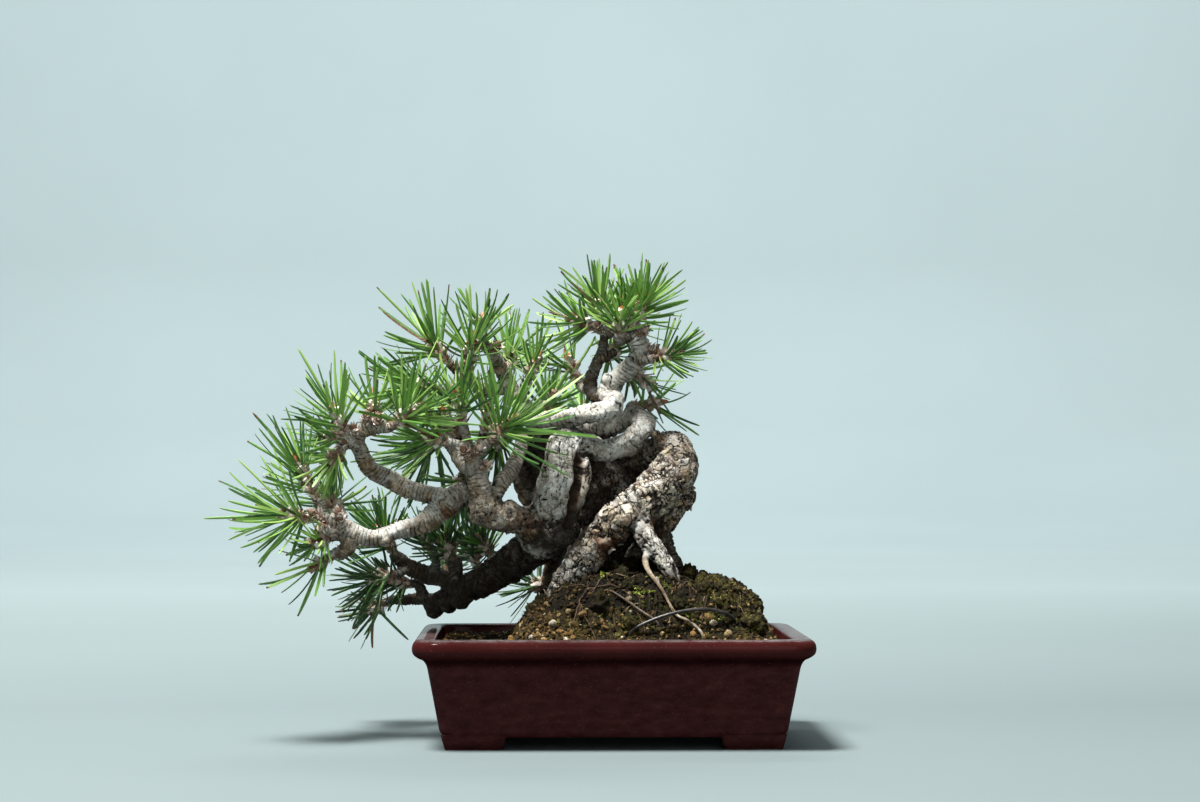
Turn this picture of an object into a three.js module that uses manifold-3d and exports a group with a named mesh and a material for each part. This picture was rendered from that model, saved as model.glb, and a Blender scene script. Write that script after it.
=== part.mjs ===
// A small Japanese black pine bonsai in a glazed rectangular pot.
// Millimetres, +Z up. The pot's foot stands on z = 0.
// Every place below is measured from the middle of the pot, and the closing group
// moves the whole tree so that the origin lies under the middle of its outline.
import * as THREE from 'three';
import Module from 'manifold-3d';

const wasm = await Module();
wasm.setup();

// Place of the pot's middle in the part's frame: the crown hangs far out to the left
const POT_PLACE = [34, -12, 0];

// Clearance between pieces that touch
const GAP = 0.3;

// Pot
const RIM_LENGTH = 126;
const RIM_DEPTH = 94;
const POT_HEIGHT = 35;
const LIP_HEIGHT = 6.3;
const LIP_REACH = 4.5;
const FOOT_HEIGHT = 4;
const FLOOR_THICK = 4;
const WALL_THICK = 3.6;
const WALL_LEAN = 4.6;
const RIM_CORNER = 6;
const FOOT_SPAN = 20;
const FOOT_WIDTH = 9;
const RIM_WIDTH = 7.2;
const DRAIN_RADIUS = 5;
const DRAIN_SIDES = 20;
const DRAIN_X = 30;

// Plastic mesh over each drain hole
const SCREEN_SIZE = 16;
const SCREEN_THICK = 0.8;
const SCREEN_HOLE = 4.4;
const SCREEN_PITCH = 3.2;

// Soil: a low bed, and the steep mound of the old root ball
const SOIL_LEVEL = 32;
const SOIL_CELL = 6;
const SOIL_RELIEF = 0.7;
const MOUND_FRONT = [-39, -19];
const MOUND_BACK = [22, 40];
const MOUND_TOP = [
  [-34, 32], [-31, 35], [-26.6, 42.4], [-21.7, 46], [-17, 49.5], [-8, 53], [0, 54.5],
  [12, 54.2], [22, 52.8], [27, 50.8], [32, 52.8], [37, 51.8], [43, 48.2], [46.5, 44],
  [48.5, 40], [51, 36], [53, 32],
];

// Limbs as [x, y, z, radius], from the thick end outwards
const LIMBS = {
  trunk: [
    [-21, -8, 38, 4.4], [-17, -8, 45.5, 4.6], [-12, -8, 54, 4.4], [-4.5, -9, 66, 4.6],
    [4.5, -8, 74.5, 5.8], [14, -6, 79.5, 7.4], [20.5, -4, 87.5, 7.4], [21.5, 1, 93.5, 6.6],
    [18.5, 10, 94.5, 6], [11, 16, 90, 6.2], [1.5, 17, 85.5, 7.2], [-8.5, 12, 78.5, 7.6],
    [-17.5, 3, 69.5, 7.6],
  ],
  heart: [
    [-23.5, 2, 63, 7.2], [-20.5, -3, 70, 7.6], [-18, -6, 79, 7.4], [-16, -6, 88.5, 6.8],
    [-15, -4, 95.5, 6], [-11, 0, 96.5, 5], [-4, 1, 94.5, 4.3],
  ],
  burl: [[17, -4, 85, 6], [21.5, -3, 81, 6], [20, -3, 75.5, 5], [16.5, -4, 71, 4.4]],
  snag: [[16.5, -1, 96, 2.6], [14.4, -1.5, 100.2, 1.5]],
  rearRise: [[-17, 5, 70, 6], [-25.5, 9, 79, 4.6], [-28.5, 11, 90, 4.2], [-24, 8.5, 101.5, 3.6]],
  curl: [
    [-9, 0.5, 95.8, 4.6], [-4, 1, 94.5, 4.3], [3, 0, 96, 4.1],
    [8.3, -1, 99.3, 4], [11, 1, 103, 3.7], [9, 7, 105.5, 3.7], [5, 14, 104.5, 3.8],
    [-3, 16, 101, 3.8], [-14.5, 14, 101.5, 3.7], [-23.5, 8, 102.5, 3.5],
    [-24.5, 0, 104, 3.3], [-18, -4, 104.5, 3.3], [-9.5, -5, 106, 3.6], [-1.5, -4, 107.5, 4],
    [1, 0, 110.5, 3.8], [-1.5, 3, 113, 3.3], [1, 3, 117, 3.1], [6, 2, 121.5, 3.1],
    [10, 1, 126.5, 3], [9, 0, 130.5, 2.8], [6.5, 0, 133, 2.3],
  ],
  strap: [[-9.5, -6, 92, 1.6], [-9, -7, 86.5, 2.6], [-11, -8, 79.5, 2.8], [-13.5, -6, 72.5, 2.4]],
  apexLeft: [
    [-1.5, 3, 111, 2.6], [-6, 8, 113.5, 2.6], [-6.5, 9, 118.5, 2.4], [-4, 9, 124, 2.1],
    [-2.5, 7, 129, 1.9], [-2, 5, 133.5, 1.6],
  ],
  shoulder: [
    [-20.5, -4, 69, 6.2], [-28.5, -6, 71.5, 5.2], [-35.5, -8, 72.5, 5], [-41, -9, 74.5, 5.2],
    [-42.5, -10, 80.5, 4.2], [-44, -11, 86.5, 3], [-45.5, -12, 92, 2.3],
  ],
  frontRight: [
    [-38.5, -8, 79.5, 2.6], [-35.5, -6, 84.5, 2.6], [-32.5, -4, 88.5, 2.4],
    [-30.5, 0, 93, 2.2], [-28.5, 6, 100, 2],
  ],
  leftLower: [
    [-39, -6, 76, 3.6], [-48, -5, 80, 3.8], [-53.5, -7, 77, 4], [-61, -10, 71, 3.1],
    [-69, -12, 68.5, 2.8], [-76.5, -14, 66, 2.6], [-83, -15, 67.5, 2.8],
    [-88.5, -16, 70.5, 2.6], [-93.5, -17, 72, 2],
  ],
  leftUpper: [
    [-53, -6, 78, 3], [-59.5, -6, 80, 3], [-67, -6, 82, 3], [-73.5, -8, 85.5, 2.7],
    [-78.5, -10, 88.5, 2.7], [-81, -12, 93, 2.4], [-82.5, -13, 97, 2.4],
    [-80.5, -13, 100.5, 2.3], [-75, -14, 102, 2],
  ],
  knob: [[-84, -15, 67, 2.6], [-85.5, -14, 63, 2.8], [-88, -14, 60.5, 2]],
  lowBack: [
    [-18, 3, 67, 6], [-26.5, 12, 60.5, 6.2], [-35, 20, 55.5, 5.8], [-43.5, 28, 50, 5.2],
    [-52.5, 36, 45.5, 4.2], [-58.5, 42, 42.5, 3.2], [-61.5, 45, 40.5, 2.4],
  ],
  lowSide: [
    [-48.5, 32, 47.5, 3.6], [-55.5, 34, 50.5, 3.2], [-62.5, 34, 52.5, 3],
    [-68.5, 33, 55, 2.6], [-72, 32, 58.5, 2],
  ],
  lowTip: [[-58, 41, 43, 2.2], [-66, 42, 43.5, 2], [-71.5, 42, 43, 1.6]],
  rootRight: [
    [14.5, -5, 77.5, 6.6], [14, -4, 70.5, 5.2], [14, -3, 64, 4.2], [16.5, -1, 58.5, 4],
    [20, 2, 52, 3.4], [23, 4, 44, 2.8],
  ],
  rootFront: [
    [10.5, -7, 74.5, 4], [9.9, -10.5, 69.5, 3], [12.5, -13, 64, 2.7], [16.3, -15, 58.8, 2.3],
    [19.5, -17, 53.5, 1.8], [21, -18, 48, 1.5],
  ],
  rootBack: [
    [10.5, 0, 76.5, 5.6], [7.5, 10, 68, 4.6], [3.5, 20, 59, 4], [-1, 26, 50.5, 3.2],
    [-4, 29, 43, 2.6],
  ],
  backBranch: [[-9.5, 13, 76, 4.2], [-13, 26, 68.5, 3.4], [-18, 38, 58.5, 2.8], [-20.5, 46, 49.5, 2.2]],
  upperBack: [
    [-23, 9, 102.5, 3], [-29, 13, 109.5, 2.8], [-33, 15, 115, 2.6], [-36.5, 14, 122, 2.4],
    [-39.5, 12, 127, 2], [-42, 10, 129.5, 1.6],
  ],
  upperLeft: [[-34, 15, 116, 2.4], [-41.5, 10, 114.5, 2.3], [-48, 6, 118.5, 2.1], [-52, 4, 122.5, 1.7]],
  midLeft: [[-43, -8, 85, 2.4], [-48, 2, 89.5, 2.4], [-51.5, 9, 94, 2.1], [-54.5, 12, 98.5, 1.8]],
  paleRoot: [
    [13, -12, 63.5, 1.7], [10.7, -15.5, 59.5, 1.4], [11.5, -20, 55.6, 1.1], [15.2, -25.2, 50.4, 0.9],
    [17.8, -28.9, 45.4, 0.8], [20, -30.8, 42, 0.75], [24, -32, 40, 0.7], [27.5, -33.5, 36.8, 0.65],
    [28.5, -33.5, 33.5, 0.6],
  ],
  brownRoot: [
    [-17, -9, 46, 1.6], [-11, -15, 49, 1.2], [-6, -20.8, 52.2, 0.95], [-2.7, -23.6, 51.3, 0.9],
    [3.7, -27.8, 46.8, 0.85], [8.5, -30, 43.4, 0.8], [13.3, -31.8, 40.2, 0.7], [15, -31, 36.5, 0.65],
  ],
};

// Limbs that stand in holes in the soil
const BURIED = ['trunk', 'rootRight', 'rootFront', 'rootBack', 'paleRoot', 'brownRoot'];

// Tie wire that holds the root ball: an arch with both ends in the soil
const WIRE_RADIUS = 0.55;
const WIRE_PATH = [
  [3.5, -30.5, 32.5], [4.6, -33, 35.5], [7, -34, 38.2], [12, -34, 40.6], [18, -33.6, 42.6],
  [24.5, -33, 43.8], [30.5, -32, 43.8], [35.3, -30.8, 42.6], [38.6, -28.6, 40.4], [39.6, -26.5, 36.5],
];

// Shoots: [limb that carries it, base, direction, shoot length, needle pairs, needle lengths]
const SHOOTS = {
  apex_left: ['apexLeft', [-4.5, 4, 135], [-0.9, -0.1, 0.3], 9, 7, [15, 19]],
  apex_up: ['apexLeft', [-1.2, 3, 136.3], [-0.45, 0.1, 1], 9, 8, [15, 19]],
  apex_top: ['curl', [7.5, -2, 136], [0.45, -0.25, 1], 9, 10, [15, 19]],
  apex_back: ['curl', [4.5, 7, 134.8], [0.1, 0.9, 0.8], 8, 7, [15, 19]],
  apex_right: ['curl', [13.6, -3.5, 124.6], [1, -0.25, 0.2], 8, 8, [13, 16]],
  apex_under: ['curl', [9.5, 6.5, 120], [0.7, 0.4, -0.75], 6, 4, [13, 17]],
  rear_right: ['curl', [9, 14.5, 109.5], [0.95, 0.4, 0.15], 8, 5, [17, 22]],
  inner_up: ['apexLeft', [-10.5, 13, 118], [-0.45, 0.3, 1], 8, 6, [18, 22]],
  top_small: ['upperBack', [-42.3, 8, 132.4], [0, -0.15, 1], 6, 7, [12, 16]],
  up_left: ['upperLeft', [-54, 3, 124.2], [-0.75, -0.1, 0.8], 9, 9, [18, 26]],
  up_bud: ['upperLeft', [-46.5, -4.5, 122.6], [0.15, -0.4, 1], 8, 6, [17, 22]],
  up_right: ['upperBack', [-27.5, 9, 118], [0.45, -0.2, 1], 8, 7, [14, 19]],
  mid_left: ['upperLeft', [-57, 0.5, 114.5], [-1, -0.3, 0.15], 9, 8, [18, 25]],
  left_bud: ['leftUpper', [-71, -15.5, 102.4], [0.75, -0.35, 0.55], 10, 10, [19, 27]],
  left_crown: ['leftUpper', [-86.3, -15.5, 99.6], [-0.45, -0.2, 1], 9, 11, [17, 23]],
  left_crown_low: ['leftUpper', [-87.5, -14, 94.8], [-0.7, 0.1, -0.75], 6, 6, [13, 18]],
  far_left: ['leftLower', [-97, -17.6, 72.6], [-1, -0.15, 0.12], 10, 11, [19, 27]],
  far_left_up: ['leftLower', [-95.4, -15, 78.6], [-0.5, 0, 1], 13, 10, [18, 25]],
  far_left_low: ['knob', [-91, -14, 60.2], [-0.8, -0.1, -0.5], 6, 6, [16, 22]],
  left_back: ['leftLower', [-89.5, -7, 75.5], [-0.45, 0.85, 0.4], 8, 7, [17, 23]],
  front: ['shoulder', [-39, -14.5, 98], [0.65, -0.4, 0.65], 9, 11, [22, 31]],
  front_up: ['shoulder', [-48.5, -13, 104], [-0.2, -0.35, 1], 9, 9, [17, 24]],
  front_left: ['shoulder', [-53.5, -13.5, 97], [-0.95, -0.35, 0.25], 8, 8, [17, 24]],
  hang_mid: ['midLeft', [-56.5, 14.5, 98], [-0.75, 0.2, -0.45], 9, 8, [19, 25]],
  low_brown: ['lowSide', [-73.5, 31, 60.5], [-0.55, -0.1, 0.9], 8, 8, [15, 20]],
  low_side: ['lowSide', [-73, 30.5, 52.5], [-1, -0.3, -0.25], 8, 7, [16, 22]],
  low_tip: ['lowTip', [-76, 42, 42.4], [-0.85, 0.1, -0.3], 7, 6, [12, 17]],
  low_up: ['lowBack', [-53.5, 30, 58], [-0.2, -0.25, 1], 8, 7, [15, 20]],
  low_rear: ['lowBack', [-55, 47, 50.5], [0.1, 0.9, 0.6], 7, 6, [14, 19]],
  rear_low: ['backBranch', [-22, 49, 48.5], [-0.3, 0.5, -0.1], 8, 7, [15, 20]],
  rear_right_low: ['backBranch', [-13, 42, 60], [0.75, 0.65, 0.35], 8, 6, [14, 19]],
  rear_top: ['upperBack', [-34.5, 26, 122.5], [0.1, 0.8, 0.75], 9, 8, [17, 23]],
  rear_left: ['midLeft', [-60, 21, 104], [-0.55, 0.7, 0.6], 9, 8, [17, 23]],
  rear_mid: ['curl', [-9, 27, 105.5], [0.1, 0.95, 0.45], 8, 6, [15, 20]],
};

// Needles that reach past the rest, as [shoot, tip]
const LONG_NEEDLES = [
  ['left_crown', [-101, -20, 127]], ['up_left', [-77, -4, 148]], ['up_left', [-62.5, 0, 150]],
  ['up_bud', [-46.5, -6, 149]], ['far_left', [-131, -20, 72.5]], ['far_left', [-126.5, -22, 63.5]],
  ['far_left_up', [-116, -16, 106.5]], ['front', [-5, -27, 98.5]],
];

const NEEDLE_BASE = 0.66;
const NEEDLE_TIP = 0.36;
const NEEDLE_LEAN = [1.35, 0.3];
const PAIR_SPREAD = 0.11;
const PAIR_OFFSET = 0.6;
const GOLDEN_TURN = 2.39996;
const SHOOT_RADIUS = 1.5;
const TWIG_RADIUS = 1.5;
const LENGTH_TRIES = [1, 0.8, 0.64];
const TWIG_AIM = 5;
const TWIG_SINK = 0.15;
const TWIG_BEND = 0.4;
const LONG_ROOT = 0.6;

// Least distances between centre lines
const CLEAR_NEEDLES = 1.75;
const CLEAR_OWN = 1.35;
const CLEAR_BARK = 1.15;
const CLEAR_POT = 1.5;
const CLEAR_TABLE = 6;
const FUSED_ROOT = 3.6;

// How far a spare point may stand off a flat face
const FLATNESS = 0.02;

// Facets of limbs: thinnest radius that takes them, sides, and rings to a span
const LIMB_FACETS = [[5, 9, 2], [3.5, 7, 2], [2.1, 6, 1], [0, 4, 1]];
const LEAST_RING_STEP = 0.15;
const STRETCHES = 3;

// Wider hole in the soil about each root
const ROOT_GAP = 0.35;

const X = new THREE.Vector3(1, 0, 0);
const Z = new THREE.Vector3(0, 0, 1);
const TURN = 2 * Math.PI;

// A repeatable draw between 0 and 1
function makeDraw(seed) {
  let state = seed >>> 0;
  return () => {
    state = (Math.imul(state, 1664525) + 1013904223) >>> 0;
    return state / 4294967296;
  };
}

const mix = (a, b, t) => a + (b - a) * t;
const vector = ([x, y, z]) => new THREE.Vector3(x, y, z);

function ease(from, to, value) {
  const t = THREE.MathUtils.clamp((value - from) / (to - from), 0, 1);
  return t * t * (3 - 2 * t);
}

// Solids from closed rings of points, which run counter-clockwise about the way they are passed
function loft(rings) {
  const sides = rings[0].length;
  const last = rings.length - 1;
  const points = rings.flat();
  const faces = [];
  const middle = ring => ring.reduce((sum, p) => sum.add(p), new THREE.Vector3()).divideScalar(sides);
  for (let i = 0; i < last; i += 1) {
    for (let j = 0; j < sides; j += 1) {
      const next = (j + 1) % sides;
      const a = i * sides + j;
      const b = i * sides + next;
      faces.push(a, b, b + sides, a, b + sides, a + sides);
    }
  }
  const start = points.push(middle(rings[0])) - 1;
  const end = points.push(middle(rings[last])) - 1;
  for (let j = 0; j < sides; j += 1) {
    const next = (j + 1) % sides;
    faces.push(start, next, j, end, last * sides + j, last * sides + next);
  }
  return solid(points, faces);
}

function solid(points, faces) {
  return new wasm.Manifold(new wasm.Mesh({
    numProp: 3,
    vertProperties: new Float32Array(points.flatMap(p => [p.x, p.y, p.z])),
    triVerts: new Uint32Array(faces),
  }));
}

// An upright square block
function block(x, y, half, bottom, top) {
  return loft([bottom, top].map(z => [[-1, -1], [1, -1], [1, 1], [-1, 1]]
    .map(([sx, sy]) => new THREE.Vector3(x + sx * half, y + sy * half, z))));
}

// The main body of a join or a cut: scraps are dropped, sealed hollows are filled, and spare
// points on flat faces are left out
function mainBody(shape) {
  const bodies = shape.decompose();
  const main = bodies.reduce((best, body) => (body.volume() > best.volume() ? body : best));
  return main.asOriginal().simplify(FLATNESS);
}

function namedMesh(name, shape, look) {
  const { vertProperties, triVerts } = shape.getMesh();
  const geometry = new THREE.BufferGeometry();
  geometry.setAttribute('position', new THREE.BufferAttribute(new Float32Array(vertProperties), 3));
  geometry.setIndex(new THREE.BufferAttribute(new Uint32Array(triVerts), 1));
  geometry.computeVertexNormals();
  const mesh = new THREE.Mesh(geometry, new THREE.MeshStandardMaterial({ ...look, flatShading: true }));
  mesh.name = name;
  return mesh;
}

// Pot

function cornerRing(halfX, halfY, corner, z, steps = 3) {
  const ring = [];
  [[1, 1], [-1, 1], [-1, -1], [1, -1]].forEach(([sx, sy], quarter) => {
    for (let i = 0; i <= steps; i += 1) {
      const turn = (quarter + i / steps) * TURN / 4;
      const x = sx * (halfX - corner) + corner * Math.cos(turn);
      const y = sy * (halfY - corner) + corner * Math.sin(turn);
      ring.push(new THREE.Vector3(x, y, z));
    }
  });
  return ring;
}

// A ring of the pot, drawn in from the outer edge of the rim
function potRing(inset, z) {
  const corner = Math.max(RIM_CORNER - 0.4 * inset, 2.5);
  return cornerRing(RIM_LENGTH / 2 - inset, RIM_DEPTH / 2 - inset, corner, z);
}

// How far the inside of the wall lies in from the rim's outer edge at a height
function innerInset(z) {
  const underLip = POT_HEIGHT - LIP_HEIGHT;
  const drop = (underLip - z) / (underLip - FOOT_HEIGHT);
  return LIP_REACH + WALL_THICK + WALL_LEAN * Math.max(drop, 0);
}

function potShape() {
  const top = POT_HEIGHT;
  const underLip = top - LIP_HEIGHT;
  const floorTop = FOOT_HEIGHT + FLOOR_THICK;
  const profile = [
    [LIP_REACH + WALL_LEAN, FOOT_HEIGHT], [LIP_REACH + 0.1, underLip - 1.8],
    [LIP_REACH - 1.2, underLip - 0.2], [1.7, underLip + 0.5], [0.5, underLip + 1.5],
    [0, top - 2.9], [0.4, top - 1.3], [1.4, top - 0.3], [2.6, top],
    [6, top], [6.8, top - 0.5], [RIM_WIDTH, top - 1.8],
    [innerInset(underLip), underLip], [innerInset(floorTop), floorTop],
  ];
  let pot = loft(profile.map(([inset, z]) => potRing(inset, z)));
  const footX = RIM_LENGTH / 2 - LIP_REACH - WALL_LEAN - 0.6;
  const footY = RIM_DEPTH / 2 - LIP_REACH - WALL_LEAN - 0.6;
  for (const [sx, sy] of [[1, 1], [-1, 1], [-1, -1], [1, -1]]) {
    pot = pot.add(footShape(footX, footY, sx, sy));
  }
  for (const side of [-1, 1]) {
    const hole = [0, floorTop + 1].map(z => Array.from({ length: DRAIN_SIDES }, (_, i) => {
      const turn = i * TURN / DRAIN_SIDES;
      return new THREE.Vector3(side * DRAIN_X + DRAIN_RADIUS * Math.cos(turn), DRAIN_RADIUS * Math.sin(turn), z);
    }));
    pot = pot.subtract(loft(hole));
  }
  return mainBody(pot);
}

// An L-shaped foot under one corner, slightly narrower at the table
function footShape(footX, footY, sx, sy) {
  const outline = [
    [0, 0], [FOOT_SPAN, 0], [FOOT_SPAN, FOOT_WIDTH], [FOOT_WIDTH, FOOT_WIDTH],
    [FOOT_WIDTH, FOOT_SPAN * 0.8], [0, FOOT_SPAN * 0.8],
  ];
  const level = (z, draft) => {
    const ring = outline.map(([x, y]) => new THREE.Vector3(
      sx * (footX - draft - x * (1 - draft * 0.05)),
      sy * (footY - draft - y * (1 - draft * 0.05)),
      z,
    ));
    return sx * sy > 0 ? ring : ring.reverse();
  };
  return starLoft(level(0, 1), level(FOOT_HEIGHT + 1, 0));
}

// A prism between two L-shaped rings, capped from the inner corner, which sees every other corner
function starLoft(low, high) {
  const count = low.length;
  const hub = low.findIndex((_, i) => isReflex(low, i));
  const faces = [];
  for (let i = 0; i < count; i += 1) {
    const next = (i + 1) % count;
    faces.push(i, next, next + count, i, next + count, i + count);
    if (i !== hub && next !== hub) {
      faces.push(hub, next, i, hub + count, i + count, next + count);
    }
  }
  return solid([...low, ...high], faces);
}

function isReflex(ring, i) {
  const before = ring[(i + ring.length - 1) % ring.length];
  const after = ring[(i + 1) % ring.length];
  const cross = (ring[i].x - before.x) * (after.y - ring[i].y) - (ring[i].y - before.y) * (after.x - ring[i].x);
  return cross < 0;
}

function screenShape(side) {
  const bottom = FOOT_HEIGHT + FLOOR_THICK + GAP;
  const top = bottom + SCREEN_THICK;
  let screen = block(side * DRAIN_X, 0, SCREEN_SIZE / 2, bottom, top);
  for (const column of [-1, 1]) {
    for (const row of [-1, 1]) {
      const x = side * DRAIN_X + column * SCREEN_PITCH;
      screen = screen.subtract(block(x, row * SCREEN_PITCH, SCREEN_HOLE / 2, bottom - 1, top + 1));
    }
  }
  return mainBody(screen);
}

// Soil

function moundTop(x) {
  if (x <= MOUND_TOP[0][0] || x >= MOUND_TOP[MOUND_TOP.length - 1][0]) return SOIL_LEVEL;
  const i = MOUND_TOP.findIndex(([at]) => at >= x);
  const [x0, z0] = MOUND_TOP[i - 1];
  const [x1, z1] = MOUND_TOP[i];
  return mix(z0, z1, (x - x0) / (x1 - x0));
}

function soilHeight(x, y) {
  const across = ease(...MOUND_FRONT, y) * (1 - ease(...MOUND_BACK, y));
  return SOIL_LEVEL + (moundTop(x) - SOIL_LEVEL) * across;
}

function soilShape() {
  const floorTop = FOOT_HEIGHT + FLOOR_THICK + GAP;
  const halfX = RIM_LENGTH / 2 - innerInset(POT_HEIGHT) + 2;
  const halfY = RIM_DEPTH / 2 - innerInset(POT_HEIGHT) + 2;
  const nx = Math.round(2 * halfX / SOIL_CELL);
  const ny = Math.round(2 * halfY / SOIL_CELL);
  const draw = makeDraw(7);
  const points = [];
  const faces = [];
  const at = (i, j) => i * (ny + 1) + j;
  for (let i = 0; i <= nx; i += 1) {
    for (let j = 0; j <= ny; j += 1) {
      const x = mix(-halfX, halfX, i / nx);
      const y = mix(-halfY, halfY, j / ny);
      points.push(new THREE.Vector3(x, y, soilHeight(x, y) + (draw() - 0.5) * 2 * SOIL_RELIEF));
    }
  }
  const top = points.length;
  const edge = [];
  for (let i = 0; i < nx; i += 1) edge.push(at(i, 0));
  for (let j = 0; j < ny; j += 1) edge.push(at(nx, j));
  for (let i = nx; i > 0; i -= 1) edge.push(at(i, ny));
  for (let j = ny; j > 0; j -= 1) edge.push(at(0, j));
  for (let i = 0; i < nx; i += 1) {
    for (let j = 0; j < ny; j += 1) {
      faces.push(at(i, j), at(i + 1, j), at(i + 1, j + 1), at(i, j), at(i + 1, j + 1), at(i, j + 1));
    }
  }
  edge.forEach(index => points.push(points[index].clone().setZ(0)));
  const hub = points.push(new THREE.Vector3(0, 0, 0)) - 1;
  edge.forEach((index, k) => {
    const next = (k + 1) % edge.length;
    faces.push(top + k, top + next, edge[next], top + k, edge[next], index, hub, top + next, top + k);
  });
  const room = [floorTop, POT_HEIGHT - LIP_HEIGHT, POT_HEIGHT - 1.8, POT_HEIGHT + 40].map(z => {
    const inset = z > POT_HEIGHT - LIP_HEIGHT ? RIM_WIDTH : innerInset(z);
    return potRing(inset + GAP, z);
  });
  let soil = solid(points, faces).intersect(loft(room));
  for (const side of [-1, 1]) {
    const pocketTop = floorTop + SCREEN_THICK + GAP;
    soil = soil.subtract(block(side * DRAIN_X, 0, SCREEN_SIZE / 2 + GAP, floorTop - 1, pocketTop));
  }
  for (const name of BURIED) soil = soil.subtract(loft(limbRings(LIMBS[name], ROOT_GAP)));
  return mainBody(soil.subtract(wireShape(ROOT_GAP)));
}

function wireShape(grow = 0) {
  const points = WIRE_PATH.map(([x, y, z]) => [x, y, z, WIRE_RADIUS]);
  return loft(limbRings(points, grow, 0));
}

// Wood

// Low swellings of the bark along and round a limb, as a share of its radius
function barkSwell(along, turn) {
  return 0.05 * Math.sin(2 * turn + 0.21 * along) + 0.045 * Math.sin(3 * turn - 0.37 * along + 1.1)
    + 0.03 * Math.sin(5 * turn + 0.8 * along);
}

// Rings along a limb. A ring that would fold back through the one before it is pushed ahead
function limbRings(points, grow = 0, swell = 1) {
  const path = new THREE.CatmullRomCurve3(points.map(vector), false, 'catmullrom', 0.5);
  const thickest = Math.max(...points.map(p => p[3]));
  const [, sides, steps] = LIMB_FACETS.find(([least]) => thickest > least);
  const count = (points.length - 1) * steps;
  const rings = [];
  let side = null;
  let along = 0;
  let before = null;
  for (let i = 0; i <= count; i += 1) {
    const centre = path.getPoint(i / count);
    const ahead = path.getTangent(i / count);
    side ??= new THREE.Vector3().crossVectors(ahead, Math.abs(ahead.z) > 0.8 ? X : Z);
    side = side.clone().addScaledVector(ahead, -side.dot(ahead)).normalize();
    const other = new THREE.Vector3().crossVectors(ahead, side);
    const span = Math.min(Math.floor(i / steps), points.length - 2);
    const radius = mix(points[span][3], points[span + 1][3], i / steps - span);
    along += before ? centre.distanceTo(before.centre) : 0;
    if (i === 0) centre.addScaledVector(ahead, -grow);
    if (i === count) centre.addScaledVector(ahead, grow);
    const ring = Array.from({ length: sides }, (_, j) => {
      const turn = TURN * j / sides;
      const r = radius * (1 + swell * barkSwell(along, turn)) + grow;
      const p = centre.clone().addScaledVector(side, r * Math.cos(turn)).addScaledVector(other, r * Math.sin(turn));
      const step = before ? p.clone().sub(before.centre).dot(before.ahead) : LEAST_RING_STEP;
      return step < LEAST_RING_STEP ? p.addScaledVector(before.ahead, LEAST_RING_STEP - step) : p;
    });
    rings.push(ring);
    before = { centre, ahead };
  }
  return rings;
}

// Short straight stretches of a limb, for distances: each has its ends and its radius
function limbStretches(points) {
  const path = new THREE.CatmullRomCurve3(points.map(vector), false, 'catmullrom', 0.5);
  const count = (points.length - 1) * STRETCHES;
  const stretches = [];
  for (let i = 0; i < count; i += 1) {
    const span = Math.floor(i / STRETCHES);
    const radius = Math.max(points[span][3], points[span + 1][3]);
    stretches.push({ a: path.getPoint(i / count), b: path.getPoint((i + 1) / count), radius });
  }
  return stretches;
}

// A twig from the nearest place on its limb to the base of its shoot
function twigPoints([limb, base, direction]) {
  const end = vector(base);
  const ahead = vector(direction).normalize();
  const aim = end.clone().addScaledVector(ahead, -TWIG_AIM);
  const stretches = limbStretches(LIMBS[limb]);
  const nearest = stretches.reduce((best, s) => (s.b.distanceTo(aim) < best.b.distanceTo(aim) ? s : best));
  const start = nearest.b.clone().lerp(nearest.a, TWIG_SINK);
  const reach = start.distanceTo(end);
  const bend = end.clone().addScaledVector(ahead, -TWIG_BEND * reach);
  return [
    [...start.toArray(), Math.min(nearest.radius * 0.85, TWIG_RADIUS * 1.25)],
    [...bend.toArray(), TWIG_RADIUS * 1.05],
    [...end.toArray(), TWIG_RADIUS],
  ];
}

function treeShape(twigs) {
  let tree = null;
  for (const points of [...Object.values(LIMBS), ...twigs]) {
    const limb = loft(limbRings(points));
    tree = tree ? tree.add(limb) : limb;
  }
  return mainBody(tree);
}

// Needles

// The least distance between two straight stretches p to q and r to s
function leastDistance(p, q, r, s) {
  const u = q.clone().sub(p);
  const v = s.clone().sub(r);
  const w = p.clone().sub(r);
  const uu = u.dot(u);
  const vv = v.dot(v);
  const uv = u.dot(v);
  const uw = u.dot(w);
  const vw = v.dot(w);
  const flat = uu * vv - uv * uv;
  let t = flat > 1e-9 ? THREE.MathUtils.clamp((uv * vw - vv * uw) / flat, 0, 1) : 0;
  let h = (uv * t + vw) / vv;
  if (h < 0 || h > 1) {
    h = THREE.MathUtils.clamp(h, 0, 1);
    t = THREE.MathUtils.clamp((uv * h - uw) / uu, 0, 1);
  }
  return w.addScaledVector(u, t).addScaledVector(v, -h).length();
}

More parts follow.
